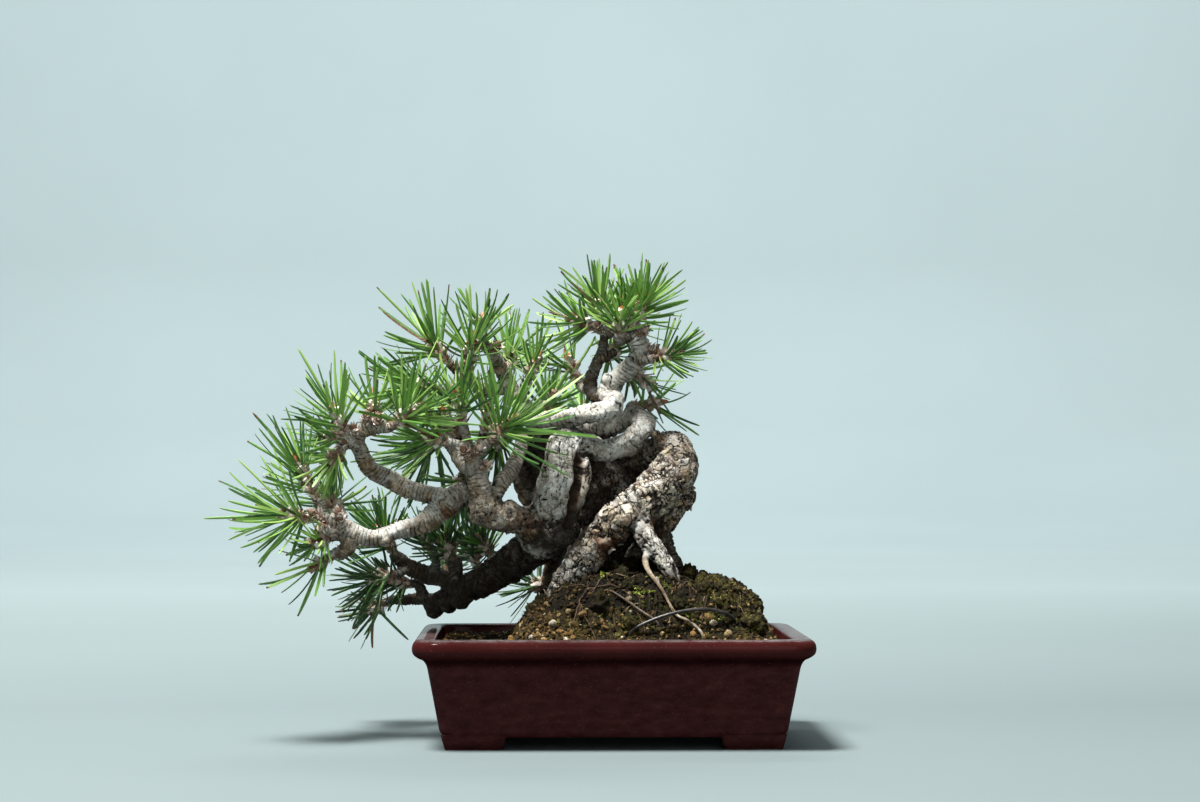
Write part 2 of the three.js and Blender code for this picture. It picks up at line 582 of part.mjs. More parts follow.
// Whether a needle stays clear of wood, soil, pot and every needle placed so far
function isClear(needle, placed, shoots, wood) {
  const { root, tip, shoot, pair } = needle;
  const ahead = tip.clone().sub(root).normalize();
  const out = root.clone().addScaledVector(ahead, SHOOT_RADIUS);
  const free = root.clone().addScaledVector(ahead, FUSED_ROOT);
  for (let i = 0; i <= 8; i += 1) {
    const p = out.clone().lerp(tip, i / 8);
    if (p.z < CLEAR_TABLE) return false;
    const overPot = Math.abs(p.x) < RIM_LENGTH / 2 + CLEAR_POT && Math.abs(p.y) < RIM_DEPTH / 2 + CLEAR_POT;
    if (overPot && p.z < Math.max(POT_HEIGHT, soilHeight(p.x, p.y)) + CLEAR_POT) return false;
  }
  for (const s of wood) {
    const ownEnd = s.shoot === shoot && s.last;
    if (!ownEnd && leastDistance(out, tip, s.a, s.b) < s.radius + CLEAR_BARK) return false;
  }
  for (const s of shoots) {
    if (s.shoot !== shoot && leastDistance(out, tip, s.a, s.b) < SHOOT_RADIUS + CLEAR_BARK) return false;
  }
  for (const other of placed) {
    const own = other.shoot === shoot;
    if (own && other.pair === pair) continue;
    const least = own ? CLEAR_OWN : CLEAR_NEEDLES;
    const gap = own
      ? leastDistance(free, tip, other.free, other.tip)
      : leastDistance(out, tip, other.out, other.tip);
    if (gap < least) return false;
  }
  Object.assign(needle, { out, free });
  return true;
}

// Two directions square to one way
function squareTo(ahead) {
  const side = new THREE.Vector3().crossVectors(ahead, Math.abs(ahead.z) > 0.8 ? X : Z).normalize();
  return [side, new THREE.Vector3().crossVectors(ahead, side)];
}

// Pairs of needles round every shoot, in golden-angle turns from its base to its tip
function placeNeedles(names, wood) {
  const shoots = names.map(shoot => {
    const [, base, direction, length] = SHOOTS[shoot];
    const ahead = vector(direction).normalize();
    const a = vector(base).addScaledVector(ahead, GAP);
    return { shoot, a, b: a.clone().addScaledVector(ahead, length), ahead, length };
  });
  const placed = [];
  for (const [shoot, tip] of LONG_NEEDLES) {
    const { a, b } = shoots.find(s => s.shoot === shoot);
    const needle = { shoot, root: a.clone().lerp(b, LONG_ROOT), tip: vector(tip), pair: -1 - placed.length };
    if (isClear(needle, placed, shoots, wood)) placed.push(needle);
  }
  shoots.forEach(({ shoot, a, b, ahead }, index) => {
    const [, , , , pairs, [shortest, longest]] = SHOOTS[shoot];
    const draw = makeDraw(1000 + 77 * index);
    const [side, other] = squareTo(ahead);
    for (let pair = 0; pair < pairs; pair += 1) {
      const u = (pair + 0.5) / pairs;
      const turn = GOLDEN_TURN * pair + 0.5 * draw();
      const lean = mix(NEEDLE_LEAN[0], NEEDLE_LEAN[1], u) * (0.85 + 0.3 * draw());
      const length = mix(shortest, longest, draw());
      const cut = draw();
      const axis = a.clone().lerp(b, 0.16 + 0.68 * u);
      const outward = side.clone().multiplyScalar(Math.cos(turn)).addScaledVector(other, Math.sin(turn));
      const way = ahead.clone().multiplyScalar(Math.cos(lean)).addScaledVector(outward, Math.sin(lean));
      const [apart, across] = squareTo(way);
      const roll = TURN * draw();
      const open = apart.clone().multiplyScalar(Math.cos(roll)).addScaledVector(across, Math.sin(roll));
      for (const sign of [-1, 1]) {
        const line = way.clone().addScaledVector(open, sign * PAIR_SPREAD).normalize();
        const root = axis.clone().addScaledVector(open, sign * PAIR_OFFSET);
        for (const share of LENGTH_TRIES) {
          const reach = length * share * (sign > 0 ? 1 : 0.9 + 0.1 * cut);
          const needle = { shoot, pair, root, tip: root.clone().addScaledVector(line, reach) };
          if (isClear(needle, placed, shoots, wood)) {
            placed.push(needle);
            break;
          }
        }
      }
    }
  });
  return { shoots, placed };
}

function needleShape({ root, tip }) {
  const ahead = tip.clone().sub(root).normalize();
  const [side, other] = squareTo(ahead);
  return loft([[root, NEEDLE_BASE], [tip, NEEDLE_TIP]].map(([centre, r]) => (
    [0, 1, 2].map(i => centre.clone()
      .addScaledVector(side, r * Math.cos(i * TURN / 3))
      .addScaledVector(other, r * Math.sin(i * TURN / 3)))
  )));
}

// A slim woody shoot that ends in a bud
function shootShape({ a, b }) {
  const profile = [[0, 0.95], [0.35, 1.1], [0.85, 0.85], [1, 0.25]];
  const ahead = b.clone().sub(a).normalize();
  const [side, other] = squareTo(ahead);
  return loft(profile.map(([share, width]) => Array.from({ length: 5 }, (_, i) => a.clone().lerp(b, share)
    .addScaledVector(side, SHOOT_RADIUS * width * Math.cos(i * TURN / 5))
    .addScaledVector(other, SHOOT_RADIUS * width * Math.sin(i * TURN / 5)))));
}

function sprayShape(shoot, needles) {
  return mainBody(needles.reduce((sum, needle) => sum.add(needleShape(needle)), shootShape(shoot)));
}

// The whole tree

const GLAZE = { color: 0x45161b, roughness: 0.22, metalness: 0 };
const PLASTIC = { color: 0x26282a, roughness: 0.6, metalness: 0 };
const EARTH = { color: 0x3b2c1d, roughness: 0.95, metalness: 0 };
const BARK = { color: 0x8d8478, roughness: 0.9, metalness: 0 };
const STEEL = { color: 0x1d1b1c, roughness: 0.35, metalness: 0.8 };
const NEEDLE = { color: 0x5d8c34, roughness: 0.5, metalness: 0 };

const shootNames = Object.keys(SHOOTS);
const twigs = shootNames.map(name => twigPoints(SHOOTS[name]));
const wood = Object.values(LIMBS).flatMap(limbStretches);
twigs.forEach((points, i) => {
  const stretches = limbStretches(points);
  stretches.forEach((s, k) => wood.push({ ...s, shoot: shootNames[i], last: k >= stretches.length - 2 }));
});
const { shoots, placed } = placeNeedles(shootNames, wood);

const group = new THREE.Group();
group.add(namedMesh('pot', potShape(), GLAZE));
for (const [side, label] of [[-1, 'left'], [1, 'right']]) {
  group.add(namedMesh(`drain_screen_${label}`, screenShape(side), PLASTIC));
}
group.add(namedMesh('soil', soilShape(), EARTH));
group.add(namedMesh('tree', treeShape(twigs), BARK));
group.add(namedMesh('tie_wire', wireShape(), STEEL));
for (const shoot of shoots) {
  const needles = placed.filter(needle => needle.shoot === shoot.shoot);
  group.add(namedMesh(`spray_${shoot.shoot}`, sprayShape(shoot, needles), NEEDLE));
}
group.position.set(...POT_PLACE);

export default group;
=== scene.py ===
"""Looks of a small Japanese black pine bonsai in a glazed rectangular pot.

Lengths in this script are millimetres, measured from the middle of the pot as in the part's
source, and build() turns them into metres in the part's frame.
"""

import math

import bpy
import numpy as np
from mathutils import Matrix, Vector, kdtree
from mathutils.bvhtree import BVHTree


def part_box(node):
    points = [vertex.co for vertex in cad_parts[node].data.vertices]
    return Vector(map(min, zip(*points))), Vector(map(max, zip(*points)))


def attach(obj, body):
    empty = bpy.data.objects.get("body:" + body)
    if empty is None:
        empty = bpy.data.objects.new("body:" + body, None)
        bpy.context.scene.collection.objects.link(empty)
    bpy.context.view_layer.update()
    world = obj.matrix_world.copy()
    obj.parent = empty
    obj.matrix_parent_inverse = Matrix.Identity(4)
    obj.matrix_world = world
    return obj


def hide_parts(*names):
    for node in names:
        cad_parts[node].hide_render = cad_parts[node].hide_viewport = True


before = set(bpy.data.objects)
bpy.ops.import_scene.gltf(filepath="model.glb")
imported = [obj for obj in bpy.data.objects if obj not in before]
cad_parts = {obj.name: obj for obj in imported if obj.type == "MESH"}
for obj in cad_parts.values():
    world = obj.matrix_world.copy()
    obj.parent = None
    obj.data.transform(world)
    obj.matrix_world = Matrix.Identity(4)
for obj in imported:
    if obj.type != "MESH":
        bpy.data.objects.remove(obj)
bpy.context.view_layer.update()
POT_LOW, POT_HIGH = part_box("pot")
POT_MIDDLE = np.array([(POT_LOW.x + POT_HIGH.x) / 2, (POT_LOW.y + POT_HIGH.y) / 2, 0.0])
MM = 0.001
TURN = 2 * math.pi

# Camera: the photograph's place, height and lens, in millimetres in the part's frame
CAMERA_PLACE = (10, -852, 89)
CAMERA_YAW = math.radians(1.39)
CAMERA_PITCH = math.radians(1.48)
CAMERA_LENS = 76.5
CAMERA_SENSOR = 36

# Measures that the part's source has too
GAP = 0.3
RIM_LENGTH = 126
RIM_DEPTH = 94
POT_HEIGHT = 35
LIP_HEIGHT = 6.3
LIP_REACH = 4.5
FOOT_HEIGHT = 4
FLOOR_THICK = 4
WALL_THICK = 3.6
WALL_LEAN = 4.6
RIM_CORNER = 6
FOOT_SPAN = 20
FOOT_WIDTH = 9
RIM_WIDTH = 7.2
DRAIN_RADIUS = 5
DRAIN_SIDES = 40
DRAIN_X = 30
SCREEN_SIZE = 16
SCREEN_THICK = 0.8
SOIL_LEVEL = 32
MOUND_FRONT = (-39, -19)
MOUND_BACK = (22, 40)
MOUND_TOP = [
    (-34, 32), (-31, 35), (-26.6, 42.4), (-21.7, 46), (-17, 49.5), (-8, 53), (0, 54.5), (12, 54.2),
    (22, 52.8), (27, 50.8), (32, 52.8), (37, 51.8), (43, 48.2), (46.5, 44), (48.5, 40), (51, 36),
    (53, 32),
]

# Limbs as (x, y, z, radius), from the thick end outwards
LIMBS = {
    "trunk": [
        (-20.5, -8, 38, 5.4), (-16.5, -8, 45.5, 5.8), (-12, -8, 54, 5.5), (-4.8, -9, 64.7, 5.6),
        (4.4, -8, 72.8, 6.3), (14, -6, 79.5, 7.5), (20.5, -4, 87.5, 7.4), (21.5, 1, 93.5, 6.6),
        (18.5, 10, 94.5, 6), (11, 16, 90, 6.2), (1.5, 17, 85.5, 7.2), (-8.5, 12, 78.5, 7.6),
        (-17.5, 3, 69.5, 7.6),
    ],
    "heart": [
        (-23.5, 2, 63, 7.2), (-20.5, -3, 70, 7.6), (-18, -6, 79, 7.4), (-16, -6, 88.5, 6.8),
        (-15, -4, 95.5, 6), (-11, 0, 96.5, 5), (-4, 1, 94.5, 4.3),
    ],
    "burl": [(17, -4, 85, 6), (21.5, -3, 81, 6), (20, -3, 75.5, 5), (16.5, -4, 71, 4.4)],
    "snag": [(16.5, -1, 96, 2.6), (14.4, -1.5, 100.2, 1.5)],
    "rearRise": [(-17, 5, 70, 6), (-25.5, 9, 79, 4.6), (-28.5, 11, 90, 4.2), (-24, 8.5, 101.5, 3.6)],
    "curl": [
        (-9, 0.5, 95.8, 4.5), (-4, 1, 94.5, 4), (3, 0, 96, 3.7), (8.3, -1, 99.3, 3.6), (11, 1, 103, 3.4),
        (9, 7, 105.5, 3.4), (5, 14, 104.5, 3.5), (-3, 16, 101, 3.6), (-14.5, 14, 101.5, 3.6),
        (-23.5, 8, 102.5, 3.4), (-24.5, 0, 104, 3.1), (-18, -4, 104.5, 2.9), (-9.5, -5, 106, 3),
        (-1.5, -4, 107.5, 3.4), (1, 0, 110.5, 3.5), (-1.5, 3, 113, 3.1), (1, 3, 117, 3),
        (6, 2, 121.5, 3.1), (10, 1, 126.5, 3), (9, 0, 130.5, 2.8), (6.5, 0, 133, 2.3),
    ],
    "strap": [(-9.5, -6, 92, 1.6), (-9, -7, 86.5, 2.6), (-11, -8, 79.5, 2.8), (-13.5, -6, 72.5, 2.4)],
    "apexLeft": [
        (-1.5, 3, 111, 2.4), (-6, 8, 113.5, 2.3), (-6.5, 9, 118.5, 2), (-4, 9, 124, 1.7),
        (-2.5, 7, 129, 1.6), (-2, 5, 133.5, 1.5),
    ],
    "shoulder": [
        (-20.5, -4, 69, 6.2), (-28.5, -6, 71.5, 5.2), (-35.5, -8, 72.5, 5), (-41, -9, 74.5, 5.2),
        (-42.5, -10, 80.5, 4.2), (-44, -11, 86.5, 3), (-45.5, -12, 92, 2.3),
    ],
    "frontRight": [
        (-38.5, -8, 79.5, 2.6), (-35.5, -6, 84.5, 2.6), (-32.5, -4, 88.5, 2.4), (-30.5, 0, 93, 2.2),
        (-28.5, 6, 100, 2),
    ],
    "leftLower": [
        (-39, -6, 76, 3.6), (-48, -5, 80, 3.8), (-53.5, -7, 77, 4), (-61, -10, 71, 3.1),
        (-69, -12, 68.5, 2.8), (-76.5, -14, 66, 2.6), (-83, -15, 67.5, 2.8), (-88.5, -16, 70.5, 2.6),
        (-93.5, -17, 72, 2),
    ],
    "leftUpper": [
        (-53, -6, 78, 3), (-59.5, -6, 80, 3), (-67, -6, 82, 3), (-73.5, -8, 85.5, 2.7),
        (-78.5, -10, 88.5, 2.7), (-81, -12, 93, 2.4), (-82.5, -13, 97, 2.4), (-80.5, -13, 100.5, 2.3),
        (-75, -14, 102, 2),
    ],
    "knob": [(-84, -15, 67, 2.6), (-85.5, -14, 63, 2.8), (-88, -14, 60.5, 2)],
    "lowBack": [
        (-18, 3, 67, 6), (-26.5, 12, 60.5, 6.2), (-35, 20, 55.5, 5.8), (-43.5, 28, 50, 5.2),
        (-52.5, 36, 45.5, 4.2), (-58.5, 42, 42.5, 3.2), (-61.5, 45, 40.5, 2.4),
    ],
    "lowSide": [
        (-48.5, 32, 47.5, 3.6), (-55.5, 34, 50.5, 3.2), (-62.5, 34, 52.5, 3), (-68.5, 33, 55, 2.6),
        (-72, 32, 58.5, 2),
    ],
    "lowTip": [(-58, 41, 43, 2.2), (-66, 42, 43.5, 2), (-71.5, 42, 43, 1.6)],
    "rootRight": [
        (14.5, -5, 77.5, 6.6), (14, -4, 70.5, 5.2), (14, -3, 64, 4.2), (16.5, -1, 58.5, 4),
        (20, 2, 52, 3.4), (23, 4, 44, 2.8),
    ],
    "rootFront": [
        (10.5, -7, 74.5, 4.4), (9.9, -10.5, 69.5, 3.8), (12.5, -13, 64, 3.3), (16.3, -15, 58.8, 2.9),
        (19.5, -17, 53.5, 2.3), (21, -18, 48, 1.8),
    ],
    "rootBack": [
        (10.5, 0, 76.5, 5.6), (7.5, 10, 68, 4.6), (3.5, 20, 59, 4), (-1, 26, 50.5, 3.2),
        (-4, 29, 43, 2.6),
    ],
    "backBranch": [
        (-9.5, 13, 76, 4.2), (-13, 26, 68.5, 3.4), (-18, 38, 58.5, 2.8), (-20.5, 46, 49.5, 2.2),
    ],
    "upperBack": [
        (-23, 9, 102.5, 3), (-29, 13, 109.5, 2.8), (-33, 15, 115, 2.6), (-36.5, 14, 122, 2.4),
        (-39.5, 12, 127, 2), (-42, 10, 129.5, 1.6),
    ],
    "upperLeft": [
        (-34, 15, 116, 2.4), (-41.5, 10, 114.5, 2.3), (-48, 6, 118.5, 2.1), (-52, 4, 122.5, 1.7),
    ],
    "midLeft": [(-43, -8, 85, 2.4), (-48, 2, 89.5, 2.4), (-51.5, 9, 94, 2.1), (-54.5, 12, 98.5, 1.8)],
    "paleRoot": [
        (13, -12, 63.5, 1.5), (10.7, -15.5, 59.5, 1.1), (11.5, -20, 55.6, 0.8),
        (15.2, -25.2, 50.4, 0.64), (17.8, -28.9, 45.4, 0.55), (20, -30.8, 42, 0.52), (24, -32, 40, 0.55),
        (27.5, -33.5, 36.8, 0.55), (28.5, -33.5, 33.5, 0.5),
    ],
    "brownRoot": [
        (-17, -9, 45, 1.2), (-11, -15, 45.5, 0.8), (-5, -20.8, 48, 0.5), (-1.5, -24.4, 49.6, 0.45),
        (3.7, -27.8, 46.8, 0.46), (8.5, -30, 43.4, 0.46), (13.3, -31.8, 40.2, 0.46),
        (15, -31, 36.5, 0.46),
    ],
}

# Knobs that only the looks have, with the limb whose bark each one wears
KNOBS = [
    ("shoulder", [(-41, -7, 74.5, 5.6), (-42, -11.3, 75, 5)]),
    ("shoulder", [(-33.5, -7, 72, 5.6), (-33.2, -11.8, 73.4, 4.9)]),
    ("shoulder", [(-26, -3, 69, 6), (-25.5, -8.5, 68, 4.6)]),
    ("heart", [(-20, 0, 66, 7), (-17.5, -8, 67.5, 5.4)]),
    ("heart", [(-17, -4, 78, 6), (-19.5, -8.5, 79.5, 4.4)]),
    ("trunk", [(2, 14, 83, 7), (-2.5, 7.5, 85, 4.6)]), ("trunk", [(0, 13, 79, 6), (5, 7, 80, 4)]),
    ("trunk", [(-7, 10, 78, 6), (-8, 4.5, 82, 3.6)]),
    ("trunk", [(0, -8, 72, 5.5), (-1.5, -12, 73, 3.6)]),
    ("trunk", [(20, -3, 92, 6), (24.5, -2, 88, 4.4)]),
    ("trunk", [(-15, -7, 44, 5), (-20.5, -10.5, 43.5, 3.4)]),
    ("lowBack", [(-29, 14, 59, 5.5), (-31, 12, 63.5, 3.6)]),
    ("lowBack", [(-40, 24, 52, 5), (-43, 22, 47.5, 3.4)]),
    ("leftLower", [(-53.5, -7, 77, 3.6), (-54.5, -9.5, 75, 3)]),
    ("leftLower", [(-74, -13, 66.5, 2.6), (-73, -15, 64.8, 1.9)]),
    ("curl", [(1, 3, 117, 3), (-1.6, 1.5, 118, 2)]),
    ("curl", [(9, 0.5, 127, 2.8), (11.6, -1.2, 127.5, 1.7)]),
    ("lowBack", [(-57, 41, 43, 3.4), (-60.5, 43, 38.6, 2.7)]),
    ("lowBack", [(-53, 37, 45, 4.4), (-55, 39, 40.8, 3)]),
    ("lowBack", [(-26, 9, 61, 6), (-32, 15, 58.5, 6)]),
    ("lowBack", [(-50, 34, 46, 4.4), (-51, 33, 42.2, 3)]),
    ("rootRight", [(15, -1.5, 67, 4.2), (17.2, -0.5, 61, 4.4), (19.8, 1, 56.5, 4.4), (21.5, 2, 52, 3.6)]),
    ("rootRight", [(12.5, 0, 65.5, 4.4), (9.5, 2.5, 59.5, 4.2), (7, 4, 54, 3.8)]),
    ("rootRight", [(16, 2, 63, 4.4), (14, 4, 57, 4.4), (14, 5, 52, 4)]),
    ("paleRoot", [(13.6, -22.6, 53.4, 0.95), (14.4, -24, 51.8, 0.7)]),
    ("lowBack", [(-24.5, 9, 85, 4.4), (-22.5, 8.5, 91.5, 4), (-22, 8, 98, 3.6)]),
    ("lowBack", [(-6, 8, 88, 3.6), (-4.5, 7, 91, 3.2)]),
    ("apexLeft", [(-3.5, 8, 125, 1.8), (1.5, 6, 127, 1.2)]),
    ("apexLeft", [(-2, 5, 133, 1.8), (2.5, 2.5, 134.5, 2)]),
    ("leftLower", [(-88, -15.5, 70, 2.6), (-90.5, -17, 67, 2.2)]),
]

# Spots of their own colour, and dark spots of painted shade in hollows and gaps: middle, size,
# and which value is raised there by how much
SPOTS = [
    ((-13, -13, 54.5), 5, "silver", 0.75), ((0, -15, 74), 3, "cream", 0.9),
    ((-1, -12, 63), 5.5, "rust", 0.9), ((3, -9, 69), 4, "rust", 0.7), ((20, -11, 75), 6, "green", 0.5),
    ((-9, -9.5, 87), 3.5, "cream", 0.55), ((-9.5, -9.5, 81), 3, "cream", 0.4),
    ((-13.5, -9, 96), 3.2, "silver", 0.8), ((-24, -9, 83), 5, "dark", 0.15),
    ((-17, -13, 84), 6, "silver", 0.3), ((-16, -8, 99), 4, "green", 0.35),
    ((12, -5, 117), 4, "silver", 0.7), ((-2, -9, 108), 5, "silver", 0.7),
    ((14, -15, 62), 5, "silver", 0.5), ((-19, -12, 65), 8, "dark", 0.35),
    ((-12, -9, 73), 6, "dark", 0.45), ((-23, -8, 72), 5, "dark", 0.25), ((17, 2, 70), 8, "dark", 0.4),
    ((1, -10, 62), 5, "dark", 0.5), ((15, -17, 57), 4, "green", 0.8), ((-9, -14, 50), 5, "green", 0.7),
    ((-27, -14, 70), 6, "rust", 0.45), ((-52, -12, 72), 5, "rust", 0.8), ((13, -11, 69), 5, "rust", 0.7),
    ((-20, -11, 66), 6, "rust", 0.3), ((8, -6, 104), 3, "silver", 0.6),
    ((-12, -8, 82), 4, "silver", 0.4), ((11.3, -20, 56), 4.5, "cream", 0.8),
    ((19.8, -17, 53), 5, "dark", 0.7), ((10, -11, 70.5), 4.5, "dark", 0.45),
    ((-5.7, 0, 80), 6, "dark", 0.9), ((-6, 0, 73), 5, "dark", 0.8),
    ((-14, -11, 66.5), 6.5, "dark", 0.85), ((-21, -11, 65), 6.5, "dark", 0.4),
    ((-26, -9, 65), 6, "dark", 0.35), ((-27, 6, 88), 9, "dark", 0.6), ((16, -10, 95), 5, "green", 0.3),
    ((24, -8, 84), 5, "cream", 0.35), ((-35, -14, 77), 5, "cream", 0.35),
]

# Healed cuts with rings: middle and radius
SCARS = [
    ((-33.1, -16.8, 74.4), 2.9), ((-43.5, -16, 77), 2.2), ((-55.5, -11.5, 78), 1.8), ((-22, -11.5, 85), 2),
]

# A groove down the middle of the weathered wood
GROOVE = np.array([(-10, -9, 93.5), (-11, -9.6, 86), (-12.4, -10, 78.5), (-14.4, -10.5, 70)])

# Bark of each limb: shares of thick plates, weathered wood, cross cracks and fine rings, and
# then how silvery and how dark it is
# The darkness is partly painted shade, most of all on the low limbs at the back
BARK = {
    "trunk": (1, 0, 0, 0, 0.26, 0), "burl": (1, 0, 0, 0, 0.2, 0), "snag": (0.7, 0.3, 0, 0, 0.1, 0.6),
    "heart": (0.2, 0.8, 0, 0, 0.95, 0), "strap": (0, 1, 0, 0, 0.65, 0),
    "rearRise": (0.5, 0.2, 0.3, 0, 0.3, 0.4), "curl": (0, 0.1, 0.9, 0, 0.9, 0),
    "apexLeft": (0, 0, 0.3, 0.7, 0.3, 0.6), "shoulder": (0.7, 0.3, 0, 0, 0.35, 0.1),
    "frontRight": (0, 0, 0.1, 0.9, 0.5, 0.1), "leftLower": (0, 0, 0.15, 0.85, 0.55, 0),
    "leftUpper": (0, 0, 0.1, 0.9, 0.5, 0), "knob": (0, 0, 0.3, 0.7, 0.3, 0.1),
    "lowBack": (0.8, 0, 0, 0.2, 0.05, 0.95), "lowSide": (0.2, 0, 0, 0.8, 0.1, 0.9),
    "lowTip": (0, 0, 0, 1, 0.1, 0.9), "rootRight": (0.9, 0, 0, 0.1, 0.1, 0.7),
    "rootFront": (0.15, 0.85, 0, 0, 0.8, 0.05), "rootBack": (0.9, 0, 0, 0.1, 0.1, 0.65),
    "backBranch": (0.3, 0, 0, 0.7, 0.2, 0.4), "upperBack": (0, 0, 0.1, 0.9, 0.4, 0.2),
    "upperLeft": (0, 0, 0, 1, 0.5, 0.1), "midLeft": (0, 0, 0, 1, 0.4, 0.2),
    "paleRoot": (0.3, 0.3, 0, 0, 0.15, 0.1), "brownRoot": (0, 0.3, 0, 0, 0.05, 0.55),
}
TWIG_BARK = (0, 0, 0, 1, 0.5, 0.05)

WIRE_RADIUS = 0.55
WIRE_PATH = [
    (3.5, -30.5, 32.5), (4.6, -33, 35.5), (7, -34, 38.2), (12, -34, 40.6), (18, -33.6, 42.6),
    (24.5, -33, 43.8), (30.5, -32, 43.8), (35.3, -30.8, 42.6), (38.6, -28.6, 40.4), (39.6, -26.5, 36.5),
]

# Shoots: (limb that carries it, base, direction, shoot length, needle pairs, needle lengths)
SHOOTS = {
    "apex_left": ("apexLeft", (-4.5, 4, 135), (-0.9, -0.1, 0.3), 9, 7, (15, 19)),
    "apex_up": ("apexLeft", (-1.2, 3, 136.3), (-0.45, 0.1, 1), 9, 8, (15, 19)),
    "apex_top": ("curl", (7.5, -2, 136), (0.45, -0.25, 1), 9, 10, (15, 19)),
    "apex_back": ("curl", (4.5, 7, 134.8), (0.1, 0.9, 0.8), 8, 7, (15, 19)),
    "apex_right": ("curl", (13.6, -3.5, 124.6), (1, -0.25, 0.2), 8, 8, (13, 16)),
    "apex_under": ("curl", (9.5, 6.5, 120), (0.7, 0.4, -0.75), 6, 4, (13, 17)),
    "rear_right": ("curl", (9, 14.5, 109.5), (0.95, 0.4, 0.15), 8, 5, (17, 22)),
    "inner_up": ("apexLeft", (-10.5, 13, 118), (-0.45, 0.3, 1), 8, 6, (18, 22)),
    "top_small": ("upperBack", (-42.3, 8, 132.4), (0, -0.15, 1), 6, 7, (12, 16)),
    "up_left": ("upperLeft", (-54, 3, 124.2), (-0.75, -0.1, 0.8), 9, 9, (18, 26)),
    "up_bud": ("upperLeft", (-46.5, -4.5, 122.6), (0.15, -0.4, 1), 8, 6, (17, 22)),
    "up_right": ("upperBack", (-27.5, 9, 118), (0.45, -0.2, 1), 8, 7, (14, 19)),
    "mid_left": ("upperLeft", (-57, 0.5, 114.5), (-1, -0.3, 0.15), 9, 8, (18, 25)),
    "left_bud": ("leftUpper", (-71, -15.5, 102.4), (0.75, -0.35, 0.55), 10, 10, (19, 27)),
    "left_crown": ("leftUpper", (-86.3, -15.5, 99.6), (-0.45, -0.2, 1), 9, 11, (17, 23)),
    "left_crown_low": ("leftUpper", (-87.5, -14, 94.8), (-0.7, 0.1, -0.75), 6, 6, (13, 18)),
    "far_left": ("leftLower", (-97, -17.6, 72.6), (-1, -0.15, 0.12), 10, 11, (19, 27)),
    "far_left_up": ("leftLower", (-95.4, -15, 78.6), (-0.5, 0, 1), 13, 10, (18, 25)),
    "far_left_low": ("knob", (-91, -14, 60.2), (-0.8, -0.1, -0.5), 6, 6, (16, 22)),
    "left_back": ("leftLower", (-89.5, -7, 75.5), (-0.45, 0.85, 0.4), 8, 7, (17, 23)),
    "front": ("shoulder", (-39, -14.5, 98), (0.65, -0.4, 0.65), 9, 11, (22, 31)),
    "front_up": ("shoulder", (-48.5, -13, 104), (-0.2, -0.35, 1), 9, 9, (17, 24)),
    "front_left": ("shoulder", (-53.5, -13.5, 97), (-0.95, -0.35, 0.25), 8, 8, (17, 24)),
    "hang_mid": ("midLeft", (-56.5, 14.5, 98), (-0.75, 0.2, -0.45), 9, 8, (19, 25)),
    "low_brown": ("lowSide", (-73.5, 31, 60.5), (-0.55, -0.1, 0.9), 8, 8, (15, 20)),
    "low_side": ("lowSide", (-73, 30.5, 52.5), (-1, -0.3, -0.25), 8, 7, (16, 22)),
    "low_tip": ("lowTip", (-76, 42, 42.4), (-0.85, 0.1, -0.3), 7, 6, (12, 17)),
    "low_up": ("lowBack", (-53.5, 30, 58), (-0.2, -0.25, 1), 8, 7, (15, 20)),
    "low_rear": ("lowBack", (-55, 47, 50.5), (0.1, 0.9, 0.6), 7, 6, (14, 19)),
    "rear_low": ("backBranch", (-22, 49, 48.5), (-0.3, 0.5, -0.1), 8, 7, (15, 20)),
    "rear_right_low": ("backBranch", (-13, 42, 60), (0.75, 0.65, 0.35), 8, 6, (14, 19)),
    "rear_top": ("upperBack", (-34.5, 26, 122.5), (0.1, 0.8, 0.75), 9, 8, (17, 23)),
    "rear_left": ("midLeft", (-60, 21, 104), (-0.55, 0.7, 0.6), 9, 8, (17, 23)),
    "rear_mid": ("curl", (-9, 27, 105.5), (0.1, 0.95, 0.45), 8, 6, (15, 20)),
}
LONG_NEEDLES = [
    ("left_crown", (-101, -20, 127)), ("up_left", (-77, -4, 148)), ("up_left", (-62.5, 0, 150)),
    ("up_bud", (-46.5, -6, 149)), ("far_left", (-131, -20, 72.5)), ("far_left", (-126.5, -22, 63.5)),
    ("far_left_up", (-116, -16, 106.5)), ("front", (-5, -27, 98.5)),
]

